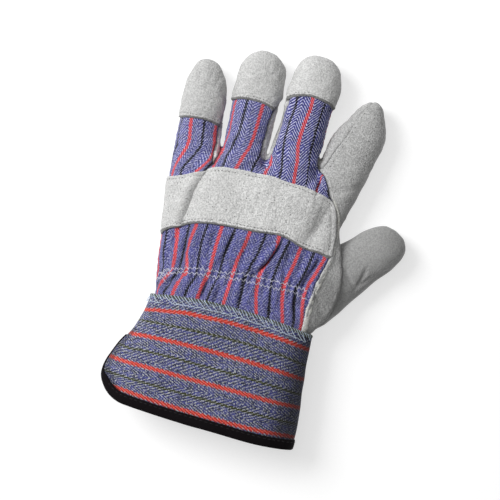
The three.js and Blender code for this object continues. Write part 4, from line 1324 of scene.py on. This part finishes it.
def patch(name, node, material, field, free_line, low_line, seam_lines=()):
    """A leather patch laid over the canvas: cut edges along free_line, and tucked into the seams elsewhere.
    Its edge on the cuff's side, low_line, is cut on a slant, and painted shade darkens a band along it."""
    mesh = cut(field, (-3.2, -2.0, -1.2, -0.55, -0.2))
    p = mesh["rest"]
    to_free, to_low = beside(p, free_line)[2], beside(p, low_line)[2]
    to_seam = np.minimum.reduce([p[:, 2] - SIDE_SEAM_Z, *(beside(p, line)[2] for line in seam_lines)])
    to_seam = np.maximum(to_seam, 0)
    # Painted shade by the seams and along the cut edge on the cuff's side. Painted light and shade run across
    # the row of patches, darker towards both ends.
    mesh["seam"], mesh["cut_edge"] = to_seam, to_low
    mesh["painted_shading"] = np.interp(p[:, 0], *np.array(PATCH_PAINTED_SHADING).T)
    tuck = smooth(to_seam / 2.4)
    edge = 1 - np.clip(np.minimum(to_free, mesh["d"]) / 0.5, 0, 1)
    roll = 0.4 * (1 - np.sqrt(np.clip(1 - edge**2, 0, 1))) + 1.0 * (1 - smooth(to_low / 1.7))
    lift = (0.35 + 0.35 * waves(p, 17, 41)) * np.exp(-to_free / 2.6)
    pressed = 0.45 * bell(to_free - 2.7, 0.85)
    top = PATCH_LIFT + PATCH - roll + np.maximum(lift, -0.1) - pressed + 0.09 * waves(p, 5.5, 42)
    low = np.minimum(PATCH_LIFT * 0.6 + np.maximum(lift, 0) * 0.7, top - 0.3)
    wall = shell(mesh, tuck * top - (1 - tuck) * 0.9, tuck * low - (1 - tuck) * 1.9)
    add(name, wall, material, [node], numbers=LEATHER_NUMBERS)


strap_plan = rounded(STRAP_OUTLINE)
in_strap = np.maximum(signed(rest, strap_plan), seam_z(x) - z)
strap_low = curve_through(STRAP_OUTLINE[STRAP_LOW_START:], 0.8)
patch("strap_leather", "knuckle_strap", STRAP_SUEDE, in_strap, strap_plan[strap_plan[:, 0] > -79], strap_low)
for cap_name, outline in CAP_OUTLINES.items():
    count = CAP_FREE_POINTS[cap_name]
    free = curve_through(outline[:count], 0.8)
    seams = [outline[count - 1:] + outline[:1]]
    patch(cap_name.replace("_cap", "_leather"), cap_name, CAP_SUEDE, in_caps[cap_name], free, free, seams)

# The cuff's cloth, and the tape bound over its hem, its round corner and its slit.
cuff = cuff_surface()
cuff["f"] = hem_field(cuff["rest"], HEM_INSET)
for level in (-1.0, -0.3):
    cuff = split(cuff, "f", level, keep=True)
cuff = main_part(split(cuff, "f", 0.0))
cuff["n"] = normals_of(cuff["v"], cuff["t"])
cuff_x, cuff_y, _ = cuff["rest"].T
lines = np.stack([-np.interp(cuff_x, CUFF_STRIPE_X, ys) for _, ys in CUFF_STRIPES], 1)
cuff_number = numbered(-cuff_y, lines, [number for number, _ in CUFF_STRIPES], CUFF_PITCH)
cuff["weave"] = np.stack([cuff_number, cuff["round"]], 1)
# Painted shade: darker by the tape's seam, and the cuff's colour darkens towards the thumb's side, which turns
# from the lamp.
cuff["seam"] = np.maximum(-cuff["f"] - TAPE_WIDTH, 0)
cuff["hollow"] = 0.2 + 2.0 * smooth((cuff_x - 34) / 30)
cuff["spacing"], cuff["soft"] = np.full(len(cuff_x), CUFF_PITCH), np.full(len(cuff_x), 0.15)
cuff_wall = shell(cuff, 0.0, -CUFF_CLOTH)
add("cuff_cloth", cuff_wall, SAFETY_CUFF_CLOTH, ["cuff"], numbers=CLOTH_NUMBERS)

rims = sorted(loops_of(cuff["t"]), key=lambda loop: cuff["v"][loop, 1].min())
hem_loop, top_loop = rims[0], max(rims[1:], key=len)


def rim_path(loop, step, ease):
    """A rim of the cuff as an even closed path: points, and outward normals."""
    path = evened(np.concatenate([cuff["v"][loop], cuff["n"][loop]], 1), step, closed=True)
    for _ in range(ease):
        path = (np.roll(path, 1, 0) + 2 * path + np.roll(path, -1, 0)) / 4
    return path[:, :3], unit(path[:, 3:])


def way_in(points, ups, towards):
    """Unit vectors into the cloth along a rim, and 1 where they point to the path's left, or else -1.
    Towards is 1 where the cloth lies on the fingers' side of the rim, and -1 on the other."""
    left = np.cross(ups, np.roll(points, -1, 0) - np.roll(points, 1, 0))
    sign = towards * np.sign(left[:, 1].mean())
    return unit(left) * sign, sign


hem_points, hem_ups = rim_path(hem_loop, HEM_STEP, 5)
slit_tip = np.argmax(np.where(hem_points[:, 0] < -40, hem_points[:, 1], -999))
hem_points, hem_ups = np.roll(hem_points, -slit_tip, 0), np.roll(hem_ups, -slit_tip, 0)
hem_index = np.arange(len(hem_points))
from_tip = np.minimum(hem_index, len(hem_points) - hem_index) * HEM_STEP
narrow = np.interp(from_tip, *np.array(TAPE_NARROW).T)
hem_into, facing = way_in(hem_points, hem_ups, 1)
tape_scale = np.stack([narrow, 0.7 + 0.3 * narrow], 1) * (1 + 0.0108 * waves(hem_points, 12, 51))[:, None]
tape = swept(hem_points, hem_ups, np.array(TAPE_PROFILE) * [facing, 1], closed=True, scale=tape_scale)
add("hem_tape", tape, BLACK_TAPE, ["cuff_binding"], sharp=70)

# Stitching: grey rows on the leather, a dark row on the tape, and the pale zigzag rows of the elastic.
grey_parts = [stitches(*rows_of(row, PATCH_LIFT + PATCH - 0.38), 1.5, 0.95, 0.25, 0.14) for row in STRAP_ROWS]
for cap_name, outline in CAP_OUTLINES.items():
    row = np.array(outline[: CAP_FREE_POINTS[cap_name]], float) + [0, CAP_ROW_INSET]
    row[0, 0] = max(row[0, 0], CAP_ROW_START[cap_name])
    grey_parts.append(stitches(*rows_of(row, PATCH_LIFT + PATCH - 0.4), 1.3, 1.0, 0.2, 0.12))
grey_parts.append(stitches(*rows_of(INDEX_ROW, -0.15), 2.4, 1.6, 0.22, 0.14))
tape_path = hem_points + hem_into * TAPE_ROW_INSET + hem_ups * 0.95
keep = narrow > 0.98
tape_row = stitches(tape_path[keep], hem_ups[keep], 2.6, 1.2, 0.24, 0.14)

pale_parts = []
for index, line in enumerate(SHIRRING):
    inner = [(max(x, -56.5), y) for x, y in line[1:-1]] + [(49.2, line[-1][1])]
    pale_parts.append(zigzag(inner, 0.26, 3.1, 1.1, 0.24, 60 + index))
# Loose ends of the elastic's thread at the little finger's side.
for k, (x, y) in enumerate([(-55.5, -24.5), (-54.5, -28.5), (-52, -22.5)]):
    tail = [(x, y), (x + 1.5, y + 1.6 + k), (x + 4.2, y + 1.0), (x + 6.0, y - 1.2 + k * 0.8)]
    pale_parts.append(swept(*rows_of(tail, 0.5), circle(0.2, 5)))

# The overlocked edge on the cuff's top. Its threads slant towards the thumb's side as they go in.
top_points, top_ups = rim_path(top_loop, 1.2, 3)
on_rim, rim_length = along_rim(top_points, top_ups, way_in(top_points, top_ups, -1)[0])
highest = np.argmax(top_points[:, 2])
way = 1 if top_points[highest - 2, 0] < top_points[highest, 0] else -1
edge_pale = whipped(on_rim, rim_length, 2.4, 0.0, 2.6, 2.8 * way, 0.27, 71)
edge_olive = whipped(on_rim, rim_length, 2.4, 1.15, 2.0, 2.8 * way, 0.40, 72)
long_threads = looped(on_rim, rim_length, 4.8, 5.6, 6.2 * way, 0.2, 73)

# The palm leather's raw edge, which stands up along the canvas on the thumb's side.
path, ups = rows_of(LIP, 0.0, 0.8)
count = len(path)
ends = np.clip(np.minimum(np.arange(count), np.arange(count)[::-1]) / 6, 0.25, 1)
wider = (1 + 0.14 * waves(path, 6, 81)) * (0.9 + 0.75 * smooth(np.linspace(-0.3, 1.1, count)))
lip = swept(path, ups, LIP_PROFILE, scale=np.stack([ends * wider, ends], 1))
lip["seam"] = lip["cut_edge"] = np.full(len(lip["v"]), FAR)
add("palm_raw_edge", lip, RAW_EDGE, sharp=60, numbers=("seam", "cut_edge"))
lip_row = draped(curve_through([(x - 1.3, y) for x, y in LIP[7:]], 1.0), 0.3)
pale_parts.append(stitches(*lip_row, 1.6, 0.5, 0.26, 0.3, 0.7))

add("shirring_thread", joined(pale_parts), WHITE_THREAD, sharp=80)
add("seam_thread", joined(grey_parts), GREY_THREAD, sharp=80)
add("tape_thread", tape_row, DARK_THREAD, sharp=80)
add("overlock_edge_thread", edge_pale, PALE_BLUE_THREAD, sharp=80)
add("overlock_olive_thread", edge_olive, OLIVE_THREAD, sharp=80)
add("overlock_long_thread", long_threads, LONG_THREAD, sharp=80)

# Floor, lights and camera. The floor lies just below the glove, and its glow keeps it white in the picture.
floor_data = bpy.data.meshes.new("floor")
floor_data.from_pydata([(-12, -12, 0), (12, -12, 0), (12, 12, 0), (-12, 12, 0)], [], [(0, 1, 2, 3)])
floor = bpy.data.objects.new("floor", floor_data)
bpy.context.collection.objects.link(floor)
pale = Graph("floor_pale")
floor_data.materials.append(pale.finish((0.45, 0.45, 0.45), 0.9))
pale.put(pale.shader.inputs["Emission Color"], (1, 1, 1))
pale.put(pale.shader.inputs["Emission Strength"], 0.62)
floor.location.z = -0.0004


def lamp(name, place, size, power):
    data = bpy.data.lights.new(name, "AREA")
    data.shape = "SQUARE"
    data.size = size
    data.energy = power
    obj = bpy.data.objects.new(name, data)
    obj.location = place
    obj.rotation_euler = (Vector((0, 0, 0.01)) - Vector(place)).to_track_quat("-Z", "Y").to_euler()
    bpy.context.collection.objects.link(obj)


lamp("key", (-1.26, 0.40, 1.33), 0.90, 34.5)
lamp("soft", (-0.34, 0.30, 1.25), 1.0, 4.6)
world = bpy.data.worlds.new("studio")
world.use_nodes = True
world.node_tree.nodes["Background"].inputs["Color"].default_value = (1, 1, 1, 1)
world.node_tree.nodes["Background"].inputs["Strength"].default_value = 0.15
bpy.context.scene.world = world
bpy.context.scene.view_settings.view_transform = "Standard"

camera_data = bpy.data.cameras.new("camera")
camera_data.sensor_width = SENSOR
camera_data.lens = SENSOR * VIEW_DISTANCE / VIEW_WIDTH
camera = bpy.data.objects.new("camera", camera_data)
camera.location = (*((np.array(CAMERA_OVER) - ORIGIN[:2]) * 0.001), CAMERA_HEIGHT)
camera.rotation_euler = (0, 0, math.radians(CAMERA_TURN))
bpy.context.collection.objects.link(camera)
bpy.context.scene.camera = camera
